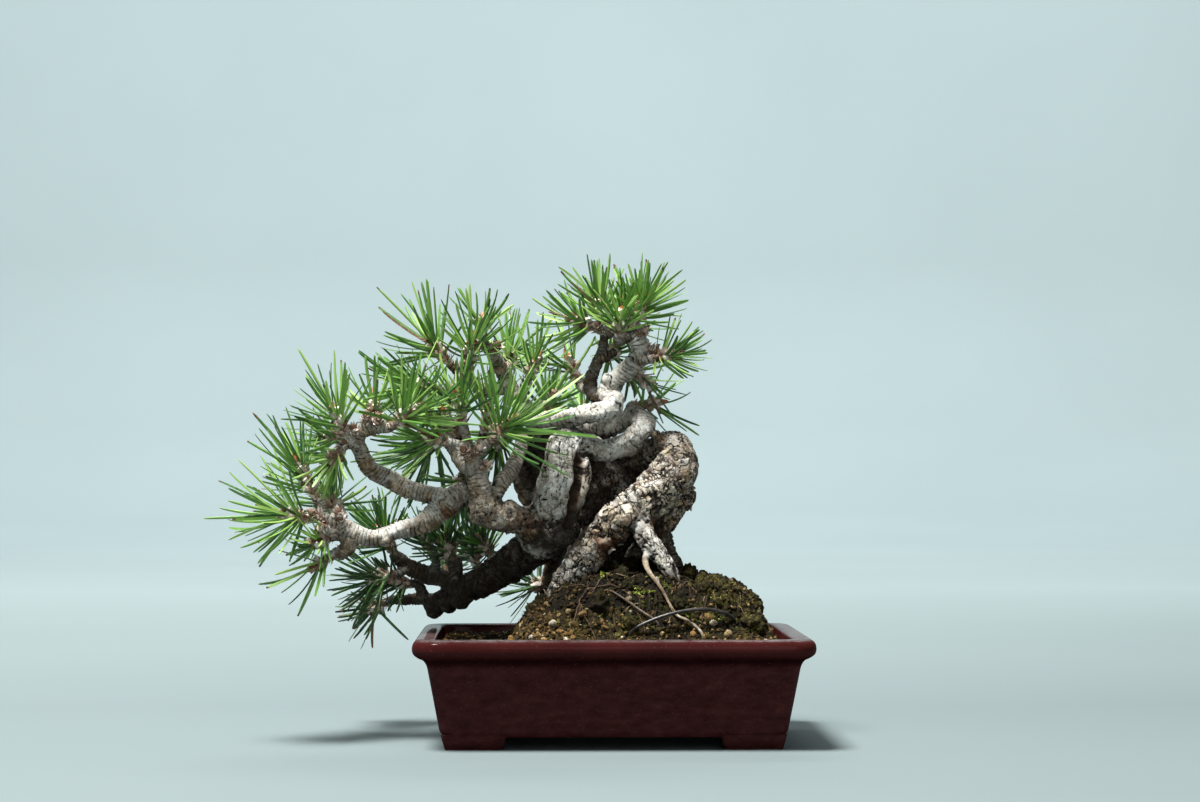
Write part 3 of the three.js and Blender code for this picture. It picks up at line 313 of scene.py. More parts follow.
# Shoots that only the looks have, written like SHOOTS
FILL_SHOOTS = {
    "apex_middle": ("curl", (3.5, -1, 134.5), (0.1, -0.15, 1), 9, 12, (16, 20)),
    "crown_middle": ("shoulder", (-41.5, -9, 101), (0.25, -0.5, 1), 8, 9, (16, 22)),
    "crown_left": ("shoulder", (-50.5, -8, 99), (-0.45, -0.2, 0.9), 8, 8, (16, 22)),
    "inner_dark": ("upperBack", (-35, 8, 100), (-0.5, -0.4, -0.7), 7, 9, (14, 19)),
    "inner_low": ("midLeft", (-49, 8, 86), (-0.2, 0.1, -1), 7, 9, (14, 19)),
    "low_fill": ("lowSide", (-60, 31, 60), (-0.35, -0.2, 1), 7, 10, (12, 17)),
    "low_fill_near": ("lowSide", (-53, 29, 58), (-0.5, -0.5, 0.7), 7, 10, (12, 17)),
    "low_fill_far": ("lowTip", (-68, 37, 49), (-0.9, -0.4, 0.2), 7, 9, (12, 16)),
    "left_knot": ("knob", (-91.5, -17, 66), (-0.7, -0.5, -0.2), 6, 6, (11, 15)),
    "left_inner": ("leftUpper", (-86, -11, 98), (-0.9, 0.3, 0.1), 7, 8, (14, 19)),
    "left_above": ("leftUpper", (-77, -11, 104), (-0.1, 0.3, 1), 7, 8, (15, 20)),
    "crown_right": ("rearRise", (-22, 5, 107), (0.4, -0.5, 1), 7, 8, (13, 17)),
    "apex_inner": ("apexLeft", (-1, 11, 126), (0.4, 0.7, 0.3), 6, 8, (11, 14)),
    "apex_behind": ("curl", (5, 7, 121.5), (0.5, 0.8, -0.3), 6, 8, (11, 15)),
    "apex_front": ("curl", (2.5, -5, 132.5), (0.1, -0.45, 1), 7, 11, (14, 19)),
    "low_dark": ("lowBack", (-45, 30, 56), (-0.3, 0.3, 0.9), 7, 10, (13, 18)),
    "low_dark_near": ("lowBack", (-40, 19, 60), (-0.5, -0.5, 0.7), 6, 8, (12, 16)),
}

# Bud clusters without needles: limb, place, direction and length
BARE_BUDS = [
    ("leftUpper", (-80.5, -14, 102), (0.1, -0.5, 1), 4),
    ("leftUpper", (-77.5, -15.5, 102.5), (0.3, -0.7, 0.7), 3.6),
    ("leftUpper", (-82.5, -15, 99), (-0.3, -0.8, 0.6), 3.6),
    ("leftUpper", (-83, -14, 96), (-0.7, -0.6, 0.2), 3),
    ("shoulder", (-44, -12, 93), (-0.5, -0.7, 0.5), 3.4),
    ("shoulder", (-45, -12, 92), (0.5, -0.7, 0.6), 4),
    ("shoulder", (-43.5, -11, 88), (0.8, -0.6, 0.3), 3),
    ("leftLower", (-92, -17, 71), (-0.3, -0.8, -0.4), 3.6),
    ("leftLower", (-93.5, -17, 72), (-0.6, -0.6, 0.5), 3.6),
    ("leftLower", (-88, -16, 70), (-0.1, -0.6, 0.9), 3.4),
    ("apexLeft", (-2, 5, 133.5), (-0.5, -0.7, 0.5), 3.6), ("curl", (8, 0, 132), (0.6, -0.7, 0.4), 3.6),
    ("curl", (9.5, 0.5, 128.5), (0.9, -0.6, -0.1), 3.2), ("curl", (10, 1, 126.5), (0.8, -0.7, 0.1), 3.4),
    ("upperLeft", (-50, 5, 120), (0.4, -0.7, 0.7), 3.4),
    ("upperBack", (-40, 12, 127.5), (0.5, -0.7, 0.4), 3.4),
]

# Single needles that only the looks have: shoot, tip, and whether it is dead and brown
SINGLE_NEEDLES = [
    ("low_tip", (-81, 42, 26.5), True), ("low_tip", (-68.5, 40, 29.5), False),
    ("apex_under", (17, 8, 106.5), True), ("inner_up", (-15.5, 9, 142), True),
]
NEEDLE_LEAN = (1.35, 0.3)
PAIR_SPREAD = 0.11
PAIR_OFFSET = 0.6
GOLDEN_TURN = 2.39996
SHOOT_RADIUS = 1.5
TWIG_RADIUS = 1.5
LENGTH_TRIES = (1, 0.8, 0.64)
TWIG_AIM = 5
TWIG_SINK = 0.15
TWIG_BEND = 0.4
LONG_ROOT = 0.6
CLEAR_NEEDLES = 1.75
CLEAR_OWN = 1.35
CLEAR_BARK = 1.15
CLEAR_POT = 1.5
CLEAR_TABLE = 6
FUSED_ROOT = 3.6
STRETCHES = 3

# Needles that only the looks have: how many to each pair of the source, and how close they stand
EXTRA_PAIRS = 3.3
EXTRA_SPARSE = {
    "far_left_low": 0.2, "low_tip": 1.2, "top_small": 0.3, "rear_right": 0.4, "apex_under": 0.5,
    "inner_up": 0.4, "up_left": 1.6, "up_right": 1.2, "left_crown": 1.7, "far_left": 2.3, "apex_left": 1.6,
    "apex_right": 2.4, "apex_up": 4.5, "apex_top": 4.5, "front": 4.2, "front_up": 3.8, "left_bud": 3.8,
    "low_brown": 4.2, "low_side": 4, "low_up": 4.2, "low_fill": 4, "low_fill_near": 4, "low_dark": 4,
}
EXTRA_NEEDLES = 0.8
MOST_NEEDLES = 12000
EXTRA_OWN = 0.6
EXTRA_RISE = 0.22

# How much farther out the ends stand than in the source, at the lip and more below it
END_SPREAD = 0.6
END_FLARE = 0.6

# Overhanging clods of the root ball: middle and radius
CLODS = [
    ((7, 0, 57), 3.2), ((12.5, -3, 56.5), 2.8), ((-2, -1, 56.5), 2.6), ((25.5, -2, 54), 3),
    ((44, -8, 45.5), 3.2), ((47.5, -9, 43.5), 2.4), ((41, -12, 47), 3), ((38, -16, 46.5), 3.4),
    ((34, -14, 50), 3.2), ((30, -12, 51.5), 2.6), ((46, -16, 39.5), 2.8), ((49, -10, 38), 2.2),
    ((36, 0, 51.5), 3), ((24, -15, 51), 2.6), ((-29, -14, 36), 2.6), ((-26, -17, 40), 2.2),
    ((4, -16, 54), 2.4), ((-8, -17, 52), 2), ((50, 2, 37), 2.4),
]

# Moss: middle, size, and tone from brown to fresh green
MOSS_PATCHES = [
    ((-1, -20), (4, 3), 0.95), ((6, -21), (5, 3), 0.9), ((12, -24), (4, 4), 0.7),
    ((16, -19), (5, 4), 0.62), ((23, -24), (6, 5), 0.5), ((28, -29), (7, 4), 0.75),
    ((33, -31), (5, 3), 0.8), ((-8, -37), (10, 3), 0.2), ((2, -36), (7, 3), 0.26),
    ((-22, -18), (7, 7), 0.36), ((10, 8), (14, 12), 0.5), ((34, 0), (8, 12), 0.45),
    ((-12, 10), (10, 12), 0.42), ((14, 27), (18, 8), 0.55), ((-30, 4), (4, 12), 0.42),
    ((-6, -28), (12, 6), 0.36), ((16, -30), (12, 5), 0.4), ((40, -18), (8, 9), 0.3),
]

# Stones that are set one by one: place, size and tone
STONES = [((-32, -37), 1.9, 0.8), ((-19.5, -29), 1.5, 0.98), ((51.6, -36.5), 1.8, 0.85)]

# Form of a needle: width, share of it along the needle, and its half-round section
NEEDLE_WIDTH = 0.49
NEEDLE_STEPS = ((0, 0.8), (0.06, 0.92), (0.2, 1), (0.4, 1.02), (0.58, 1), (0.74, 0.96), (0.87, 0.87),
                (0.95, 0.7), (0.988, 0.45), (1, 0.16))
NEEDLE_SHARP = 50
NEEDLE_SECTION = ((1, 0), (0.8, 0.42), (0.32, 0.66), (-0.32, 0.66), (-0.8, 0.42), (-1, 0), (0, 0.06))

# Fine surfaces
RING_STEP = 0.8
RING_SIDES = 28
WOOD_VOXEL = 0.35
WOOD_TRIANGLES = 190000
FLAKES = 45
OCCLUSION_RAYS = 7
OCCLUSION_REACH = 11
SOIL_STEP = 0.5
SOIL_CORNER = 3.2
SCATTER_EDGE = 1.6
SLOPE_STEP = 0.8
CLOD_TRIES = 300
BIG_CLOD = 2.3
GRAIN_TRIES = 3200
LARGE_GRAIN_TRIES = 330
CRUMB_TRIES = 8300
MOSS_TRIES = 2600
TUFT_BLADES = 5
FIBRE_TRIES = 420
FIBRE_STEP = 1.15
FIBRE_LIMIT = (54, 38)
SHORTEST_FIBRE = 5
SEEDS = {
    "occlusion": 7, "clods": 12, "grains": 21, "moss": 33, "fibres": 54, "flakes": 65, "bare_buds": 77,
}
SPRAY_SEED = 400
SOURCE_SEED, SOURCE_SEED_STEP = 1000, 77
EXTRA_SEED, EXTRA_SEED_STEP = 9000, 31
FIRST_EXTRA = 500

# Lamps: name, place and aim in metres, size, power and colour
MIDDLE = (0, 0, 0.08)
LAMPS = [
    ("key", (-0.32, -0.34, 1.3), MIDDLE, 0.4, 46, (1, 0.99, 0.965)),
    ("front", (0.35, -1.5, 0.5), MIDDLE, 0.8, 3.2, (1, 1, 1)),
    ("wall", (0, 1.9, 2.6), (0, 3.2, 0.8), 2.2, 100, (1, 1, 1)),
]

# The floor and the backdrop that it curves up into, in metres: distance from the pot and height
STAGE_PROFILE = [(0.6, 0), (1.4, 0), (2.2, 0), (2.6, 0.03), (2.9, 0.15), (3.1, 0.4), (3.2, 0.9), (3.25, 2.4)]
STAGE_SIDES = 96


def seeded(name):
    return np.random.default_rng(SEEDS[name])


def make_draw(seed):
    """A repeatable draw between 0 and 1, the same as the source's."""
    state = [seed & 0xFFFFFFFF]

    def draw():
        state[0] = (state[0] * 1664525 + 1013904223) & 0xFFFFFFFF
        return state[0] / 4294967296

    return draw


def mix(a, b, t):
    return a + (b - a) * t


def ease(low, high, value):
    t = np.clip((value - low) / (high - low), 0, 1)
    return t * t * (3 - 2 * t)


def unit(v):
    v = np.asarray(v, float)
    return v / np.linalg.norm(v)


def square_to(ahead):
    """Two directions square to one way."""
    side = unit(np.cross(ahead, (1, 0, 0) if abs(ahead[2]) > 0.8 else (0, 0, 1)))
    return side, np.cross(ahead, side)


def turns_of(sides):
    """Even steps once round."""
    return TURN * np.arange(sides) / sides


def spokes(turns, side, other):
    """Ways out from an axis, one for each turn."""
    return np.outer(np.cos(turns), side) + np.outer(np.sin(turns), other)


def named(name):
    """Finished looks that another piece has too."""
    return bpy.data.materials[name]


# Noise, on rows of points


def lattice(cell, seed):
    """A random number from 0 to 1 for each whole-numbered cell."""
    c = cell.astype(np.int64)
    h = (c[:, 0] * 374761393 + c[:, 1] * 668265263 + c[:, 2] * 2147483629 + seed * 974634777) & 0xFFFFFFFF
    h = ((h ^ (h >> 13)) * 1274126177) & 0xFFFFFFFF
    h = ((h ^ (h >> 15)) * 2246822519) & 0xFFFFFFFF
    return ((h ^ (h >> 16)) & 0xFFFFFF) / 0xFFFFFF


def noise(points, seed=0):
    """Smooth noise from -1 to 1 with features about one unit wide."""
    low = np.floor(points)
    t = points - low
    t = t * t * (3 - 2 * t)
    total = np.zeros(len(points))
    for corner in np.ndindex(2, 2, 2):
        weight = np.prod(np.where(corner, t, 1 - t), axis=1)
        total += weight * lattice(low + corner, seed)
    return 2 * total - 1


def layered(points, octaves=3, seed=0):
    """Noise in layers, each half as large and half as deep as the last."""
    total = sum(noise(points * 2 ** k, seed + 17 * k) / 2 ** k for k in range(octaves))
    return total / (2 - 2 ** (1 - octaves))


def cells(points, seed=0):
    """Distance to the nearest cell point, margin to the second nearest, a number for the cell,
    and how far the point leans over in the cell's own slant."""
    low = np.floor(points)
    first = np.full(len(points), 9.0)
    second = np.full(len(points), 9.0)
    mark = np.zeros(len(points))
    offset = np.zeros(points.shape)
    for step in np.ndindex(3, 3, 3):
        cell = low + np.array(step) - 1
        place = cell + 0.12 + 0.76 * np.stack([lattice(cell, seed + k) for k in (1, 2, 3)], axis=1)
        away = points - place
        far = np.linalg.norm(away, axis=1)
        nearer = far < first
        second = np.where(nearer, first, np.minimum(second, far))
        mark = np.where(nearer, lattice(cell, seed + 4), mark)
        offset = np.where(nearer[:, None], away, offset)
        first = np.where(nearer, far, first)
    angle = TURN * mark * 7
    slant = offset[:, 0] * np.cos(angle) + offset[:, 1] * np.sin(angle) + offset[:, 2] * np.sin(2 * angle)
    return first, second - first, mark, slant


def threads(points, seed, width=0.12):
    """Thin wandering lines, 1 on the line."""
    return 1 - ease(0.0, width, np.abs(noise(points, seed)))


# Meshes


def put(name, data):
    """A new object in the scene."""
    made = bpy.data.objects.new(name, data)
    bpy.context.scene.collection.objects.link(made)
    return made


class Shape:
    """Points, faces of three or four corners, their material numbers, and one value per point."""

    def __init__(self):
        self.points = []
        self.faces = []
        self.looks = []
        self.values = {}
        self.count = 0

    def add(self, points, faces, look=0, **values):
        points = np.asarray(points, float)
        self.faces += [tuple(i + self.count for i in face) for face in faces]
        self.looks += [look] * len(faces)
        self.points.append(points)
        for name, value in values.items():
            row = np.broadcast_to(np.asarray(value, float), len(points))
            self.values.setdefault(name, []).append(row)
        self.count += len(points)

    def all_points(self):
        return np.concatenate(self.points)


def rows_of(mesh, name):
    """One vector of each vertex, in rows."""
    rows = np.zeros(3 * len(mesh.vertices), np.float32)
    mesh.vertices.foreach_get(name, rows)
    return rows.reshape(-1, 3)


def set_points(mesh, points):
    mesh.vertices.foreach_set("co", np.asarray(points, np.float32).ravel())


def raw_mesh(name, points, faces, looks=None):
    """A mesh from rows of points and lists of corners."""
    mesh = bpy.data.meshes.new(name)
    sizes = np.array([len(face) for face in faces], np.int32)
    corners = np.fromiter((i for face in faces for i in face), np.int32, int(sizes.sum()))
    mesh.vertices.add(len(points))
    set_points(mesh, points)
    mesh.loops.add(len(corners))
    mesh.loops.foreach_set("vertex_index", corners)
    mesh.polygons.add(len(sizes))
    mesh.polygons.foreach_set("loop_start", np.concatenate([[0], np.cumsum(sizes)[:-1]]).astype(np.int32))
    if looks is not None:
        mesh.polygons.foreach_set("material_index", np.array(looks, np.int32))
    mesh.update(calc_edges=True)
    mesh.validate()
    return mesh


def read_mesh(mesh):
    """Points, normals and faces of a mesh."""
    faces = [tuple(face.vertices) for face in mesh.polygons]
    return rows_of(mesh, "co").astype(float), rows_of(mesh, "normal").astype(float), faces


def finished(name, mesh, looks, nodes=(), smooth=True, sharp=None):
    """A piece of the object: its mesh goes from millimetres to metres and into the part's frame."""
    set_points(mesh, rows_of(mesh, "co") * MM + POT_MIDDLE)
    mesh.polygons.foreach_set("use_smooth", [smooth] * len(mesh.polygons))
    if sharp:
        mesh.set_sharp_from_angle(angle=math.radians(sharp))
    for look in looks:
        mesh.materials.append(look)
    mesh.update()
    piece = put(name, mesh)
    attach(piece, "root")
    if nodes:
        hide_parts(*nodes)
    return piece


def set_values(mesh, values):
    for name, rows in values.items():
        layer = mesh.attributes.new(name, "FLOAT", "POINT")
        layer.data.foreach_set("value", np.asarray(rows, np.float32))


def build(name, shape, looks, nodes=(), smooth=True, sharp=None):
    mesh = raw_mesh(name, shape.all_points(), shape.faces, shape.looks)
    set_values(mesh, {key: np.concatenate(rows) for key, rows in shape.values.items()})
    return finished(name, mesh, looks, nodes, smooth, sharp)


def changed(mesh, kind, **settings):
    """The mesh after one modifier."""
    holder = put("holder", mesh)
    modifier = holder.modifiers.new("change", kind)
    for key, value in settings.items():
        setattr(modifier, key, value)
    graph = bpy.context.evaluated_depsgraph_get()
    result = bpy.data.meshes.new_from_object(holder.evaluated_get(graph), depsgraph=graph)
    bpy.data.objects.remove(holder)
    return result


def ring_faces(rings, sides, closed=True):
    """Faces between rings of points, with fans of one face at both ends if closed."""
    faces = []
    for i in range(rings - 1):
        for j in range(sides):
            k = (j + 1) % sides
            faces.append((i * sides + j, i * sides + k, (i + 1) * sides + k, (i + 1) * sides + j))
    if closed:
        faces.append(tuple(reversed(range(sides))))
        faces.append(tuple(range((rings - 1) * sides, rings * sides)))
    return faces


def tube(line, radii, sides=6):
    """A tube along a line of points, with a radius at each."""
    line = np.asarray(line, float)
    ways = np.gradient(line, axis=0)
    side = square_to(unit(ways[0]))[0]
    points = []
    for centre, way, radius in zip(line, ways, np.broadcast_to(radii, len(line))):
        ahead = unit(way)
        side = unit(side - ahead * side.dot(ahead))
        points.append(centre + radius * spokes(turns_of(sides), side, np.cross(ahead, side)))
    return np.concatenate(points), ring_faces(len(line), sides)


# Materials


class Look:
    """One procedural material. Its scales count features to the metre."""

    def __init__(self, name, **sockets):
        self.material = bpy.data.materials.new(name)
        self.material.use_nodes = True
        self.tree = self.material.node_tree
        self.shader = self.tree.nodes["Principled BSDF"]
        for socket, value in sockets.items():
            self.shader.inputs[socket.replace("_", " ")].default_value = value
        self.place = self.node("ShaderNodeTexCoord").outputs["Object"]

    def node(self, kind, **settings):
        made = self.tree.nodes.new(kind)
        for key, value in settings.items():
            setattr(made, key, value)
        return made

    def feed(self, value, socket):
        if isinstance(value, bpy.types.NodeSocket):
            self.tree.links.new(value, socket)
        else:
            socket.default_value = value

    def value(self, name):
        return self.node("ShaderNodeAttribute", attribute_name=name).outputs["Fac"]

    def texture(self, kind, place, scale, **settings):
        made = self.node(kind, **settings)
        self.tree.links.new(place or self.place, made.inputs["Vector"])
        made.inputs["Scale"].default_value = scale
        return made

    def part(self, axis):
        made = self.node("ShaderNodeSeparateXYZ")
        self.tree.links.new(self.place, made.inputs["Vector"])
        return made.outputs[axis]

    def stretch(self, x, y, z, place=None):
        return self.texture("ShaderNodeMapping", place, (x, y, z)).outputs["Vector"]

    def noise(self, scale, detail=4.0, rough=0.55, place=None, twist=0.0):
        made = self.texture("ShaderNodeTexNoise", place, scale)
        for name, number in (("Detail", detail), ("Roughness", rough), ("Distortion", twist)):
            made.inputs[name].default_value = number
        return made.outputs["Fac"]

    def cracks(self, scale, place=None):
        made = self.texture("ShaderNodeTexVoronoi", place, scale, feature="DISTANCE_TO_EDGE")
        return made.outputs["Distance"]

    def cells(self, place):
        """A random tone for each cell of the net that cracks() draws at scale 1."""
        made = self.texture("ShaderNodeTexVoronoi", place, 1, feature="F1")
        parts = self.node("ShaderNodeSeparateColor")
        self.tree.links.new(made.outputs["Color"], parts.inputs[0])
        return parts.outputs[0]

    def wobble(self, scale):
        return self.texture("ShaderNodeTexNoise", None, scale).outputs["Color"]

    def maths(self, kind, a, b=0.0):
        made = self.node("ShaderNodeMath", operation=kind)
        self.feed(a, made.inputs[0])
        self.feed(b, made.inputs[1])
        return made.outputs[0]

    def times(self, a, b):
        return self.maths("MULTIPLY", a, b)

    def plus(self, a, b):
        return self.maths("ADD", a, b)

    def spread(self, value, low, high, to_low=0.0, to_high=1.0):
        made = self.node("ShaderNodeMapRange")
        self.feed(value, made.inputs["Value"])
        for name, number in (("From Min", low), ("From Max", high), ("To Min", to_low), ("To Max", to_high)):
            made.inputs[name].default_value = number
        return made.outputs["Result"]

    def ramp(self, value, *stops):
        made = self.node("ShaderNodeValToRGB")
        self.feed(value, made.inputs["Fac"])
        points = made.color_ramp.elements
        while len(points) < len(stops):
            points.new(0.5)
        for point, (at, colour) in zip(points, stops):
            point.position = at
            point.color = (*colour, 1)
        return made.outputs["Color"]

    def blend(self, share, a, b, kind="MIX"):
        made = self.node("ShaderNodeMix", data_type="RGBA", blend_type=kind)
        self.feed(share, made.inputs["Factor"])
        for socket, value in ((made.inputs[6], a), (made.inputs[7], b)):
            self.feed(value if isinstance(value, bpy.types.NodeSocket) else (*value, 1), socket)
        return made.outputs[2]

    def bump(self, height, strength, depth_mm, under=None):
        made = self.node("ShaderNodeBump")
        made.inputs["Strength"].default_value = strength
        made.inputs["Distance"].default_value = depth_mm * MM
        self.feed(height, made.inputs["Height"])
        if under is not None:
            self.tree.links.new(under, made.inputs["Normal"])
        return made.outputs["Normal"]

    def done(self, colour=None, rough=None, normal=None):
        for value, socket in ((colour, "Base Color"), (rough, "Roughness"), (normal, "Normal")):
            if value is not None:
                self.tree.links.new(value, self.shader.inputs[socket])
        return self.material


def glaze_look():
    """Dark burgundy glaze: thinner and redder on the lip, streaked along the walls, with painted
    shade under the lip and a painted reflection with dust on the rim's top.
    """
    look = Look("glaze", Specular_IOR_Level=0.0, Coat_Roughness=0.06, Coat_IOR=1.5)
    gloss = look.plus(look.spread(look.value("shade"), 0.05, 0.4, 0.09, 0.0),
                       look.times(look.value("rim_dust_and_sheen"), 0.35))
    look.feed(gloss, look.shader.inputs["Coat Weight"])
    streaks = look.noise(300, 6, 0.65, look.stretch(0.6, 0.6, 1.2))
    cloud = look.noise(60, 3, 0.5)
    dark = look.ramp(streaks, (0.32, (0.035, 0.0070, 0.0072)), (0.5, (0.050, 0.0113, 0.0113)),
                     (0.62, (0.063, 0.0160, 0.0155)), (0.74, (0.086, 0.0245, 0.0225)))
    lip = look.ramp(cloud, (0.3, (0.033, 0.0067, 0.0064)), (0.7, (0.056, 0.0114, 0.0106)))
    colour = look.blend(look.value("thin"), dark, lip)
    # Painted shade under the lip
    colour = look.blend(look.value("shade"), colour, (0.0045, 0.0012, 0.0012))
    # The rim's top takes a pale blue-grey in streaks: partly dust, partly a painted reflection of the pale
    # backdrop
    scuffs = look.spread(look.noise(240, 6, 0.75), 0.40, 0.64, 0.02, 0.24)
    colour = look.blend(look.times(look.value("rim_dust_and_sheen"), scuffs), colour, (0.30, 0.34, 0.34))
    specks = look.spread(look.noise(1900, 2, 0.5), 0.66, 0.74)
    colour = look.blend(look.times(specks, 0.35), colour, (0.20, 0.10, 0.09))
    rough = look.spread(look.noise(420, 3, 0.6), 0.3, 0.7, 0.2, 0.34)
    fine = look.bump(look.noise(1500, 3, 0.6), 0.12, 0.2)
    normal = look.bump(look.noise(150, 3, 0.5, look.stretch(0.5, 0.5, 1.4)), 0.25, 0.5, fine)
    return look.done(colour, rough, normal)


def clay_look():
    """Bare fired clay under the feet and inside the pot."""
    look = Look("bare_clay", Roughness=0.85)
    colour = look.ramp(look.noise(500, 5, 0.7), (0.3, (0.055, 0.028, 0.020)), (0.7, (0.115, 0.060, 0.042)))
    return look.done(colour, None, look.bump(look.noise(2400, 3, 0.7), 0.3, 0.15))


def bark_look():
    """Bark in browns and silver greys, dark in its cracks, and darkened by painted shade where its
    dark value is high.
    """
    look = Look("bark", Specular_IOR_Level=0.2)
    grain = look.noise(900, 6, 0.7)
    broad = look.noise(170, 4, 0.6)
    fine = look.noise(3200, 4, 0.7)
    limb = look.node("ShaderNodeAttribute", attribute_name="spot").outputs["Vector"]
    limb = look.blend(0.005, limb, look.wobble(300))
    scales = look.stretch(165, 165, 330, limb)
    chips = look.stretch(400, 400, 760, limb)
    shreds = look.stretch(640, 640, 190, limb)
    hoops = look.stretch(260, 260, 720, limb)
    apart = look.cracks(1, scales)
    gaps = look.times(look.spread(apart, 0.025, 0.075, 1, 0), look.value("plates"))
    patchy = look.spread(look.noise(260, 3, 0.6), 0.40, 0.52)
    fine_gaps = look.times(look.spread(look.cracks(1, chips), 0.02, 0.09, 0.9, 0), look.value("plates"))
    gaps = look.maths("MAXIMUM", gaps, look.times(fine_gaps, patchy))
    splits = look.times(look.spread(look.cracks(1, shreds), 0.02, 0.09, 1, 0), look.value("worn"))
    broken = look.spread(look.noise(330, 3, 0.6), 0.42, 0.54)
    gaps = look.maths("MAXIMUM", gaps, look.times(splits, broken))
    folds = look.times(look.spread(look.cracks(1, hoops), 0.02, 0.08, 0.7, 0), look.value("cross"))
    gaps = look.maths("MAXIMUM", gaps, look.times(folds, broken))
    own = look.times(look.cells(scales), look.value("plates"))
    own = look.plus(look.times(own, 0.45), look.times(look.value("plate"), 0.25))
    tone = look.plus(own, look.times(grain, 0.65))
    brown = look.ramp(tone, (0.28, (0.036, 0.021, 0.011)), (0.46, (0.20, 0.132, 0.074)),
                      (0.64, (0.54, 0.42, 0.275)), (0.82, (0.86, 0.76, 0.60)))
    rust = look.ramp(grain, (0.3, (0.055, 0.020, 0.010)), (0.7, (0.24, 0.095, 0.042)))
    brown = look.blend(look.value("rust"), brown, rust)
    tone = look.plus(look.times(grain, 0.65), look.times(broad, 0.5))
    silver = look.ramp(tone, (0.30, (0.15, 0.130, 0.100)), (0.43, (0.38, 0.350, 0.295)),
                       (0.56, (0.68, 0.65, 0.585)), (0.70, (0.91, 0.905, 0.865)))
    colour = look.blend(look.value("silver"), brown, silver)
    cream = look.ramp(grain, (0.3, (0.30, 0.21, 0.13)), (0.7, (0.66, 0.55, 0.40)))
    colour = look.blend(look.value("cream"), colour, cream)
    moss = look.spread(look.noise(240, 4, 0.6, None, 0.4), 0.45, 0.65)
    colour = look.blend(look.times(moss, look.value("green")), colour, (0.15, 0.17, 0.05))
    pits = look.spread(fine, 0.36, 0.47, 1, 0)
    colour = look.blend(look.times(pits, 0.15), colour, (0.040, 0.028, 0.019))
    hair = look.spread(look.cracks(520, look.blend(0.02, look.place, look.wobble(420))), 0.0, 0.045, 0.8, 0)
    broken = look.spread(look.noise(300, 2, 0.5), 0.46, 0.6)
    colour = look.blend(look.times(hair, broken), colour, (0.022, 0.015, 0.010))
    colour = look.blend(look.times(gaps, 0.93), colour, (0.010, 0.007, 0.004))
    colour = look.blend(look.spread(look.value("crack"), 0.15, 0.7), colour, (0.012, 0.008, 0.005))
    # The dark value carries painted shade in hollows, on undersides, at the back and on limbs in shadow, with
    # some dirt and darker bark
    colour = look.blend(look.times(look.value("dark"), 0.9), colour, (0.016, 0.011, 0.007))
    normal = look.bump(fine, 0.5, 0.25)
    normal = look.bump(grain, 0.7, 0.6, normal)
    normal = look.bump(gaps, -0.8, 0.6, normal)
    return look.done(colour, look.spread(grain, 0.3, 0.7, 0.72, 0.95), normal)


def needle_look():
    """Waxy green, yellower on some needles, pale at the sheath and brown at a burnt tip."""
    look = Look("needle", Specular_IOR_Level=0.55, Subsurface_Weight=0.0)
    # The tint carries painted shade and light as well as each needle's own tone
    tint = look.value("tint")
    green = look.ramp(tint, (0.0, (0.012, 0.043, 0.018)), (0.35, (0.042, 0.136, 0.026)),
                      (0.65, (0.126, 0.295, 0.044)), (1.0, (0.36, 0.570, 0.145)))
    streak = look.noise(900, 2, 0.5)
    green = look.blend(look.spread(streak, 0.45, 0.7, 0, 0.3), green, (0.30, 0.44, 0.10))
    along = look.value("along")
    green = look.blend(look.spread(along, 0.0, 0.16, 0.75, 0), green, (0.42, 0.46, 0.16))
    burnt = look.ramp(look.noise(1500, 2, 0.5), (0.35, (0.05, 0.028, 0.018)), (0.7, (0.24, 0.125, 0.05)))
    share = look.spread(look.plus(along, look.value("burn")), 0.97, 1.0)
    colour = look.blend(share, green, burnt)
    normal = look.bump(look.noise(2600, 2, 0.6), 0.15, 0.1)
    return look.done(colour, look.spread(streak, 0.3, 0.7, 0.42, 0.6), normal)


def sheath_look():
    """Papery scales: tan and brown, some bleached."""
    look = Look("scale", Roughness=0.8, Specular_IOR_Level=0.25)
    tone = look.plus(look.times(look.value("tint"), 0.7),
                      look.times(look.noise(1800, 3, 0.6), 0.4))
    colour = look.ramp(tone, (0.15, (0.045, 0.021, 0.012)), (0.38, (0.16, 0.082, 0.046)),
                       (0.56, (0.41, 0.285, 0.215)), (0.74, (0.68, 0.58, 0.51)), (0.98, (0.86, 0.82, 0.77)))
    return look.done(colour, None, look.bump(look.noise(3000, 3, 0.7), 0.4, 0.15))


def bud_look():
    """Resin-glossy winter bud, orange-brown with pale scale edges."""
    look = Look("bud", Roughness=0.45)
    colour = look.ramp(look.plus(look.value("tint"), look.times(look.noise(1500), 0.25)),
                       (0.15, (0.20, 0.045, 0.020)), (0.55, (0.42, 0.125, 0.035)), (0.95, (0.66, 0.42, 0.24)))
    return look.done(colour, None, look.bump(look.noise(2800, 3, 0.6), 0.3, 0.1))


def shade_under_tree(look):
    """Painted shade at the top of the mound, round the foot of the trunk and between the roots."""
    high = look.spread(look.part("Z"), 0.037, 0.046, 0, 0.62)
    return look.times(high, look.spread(look.part("X"), 0.056, 0.063, 1, 0.2))


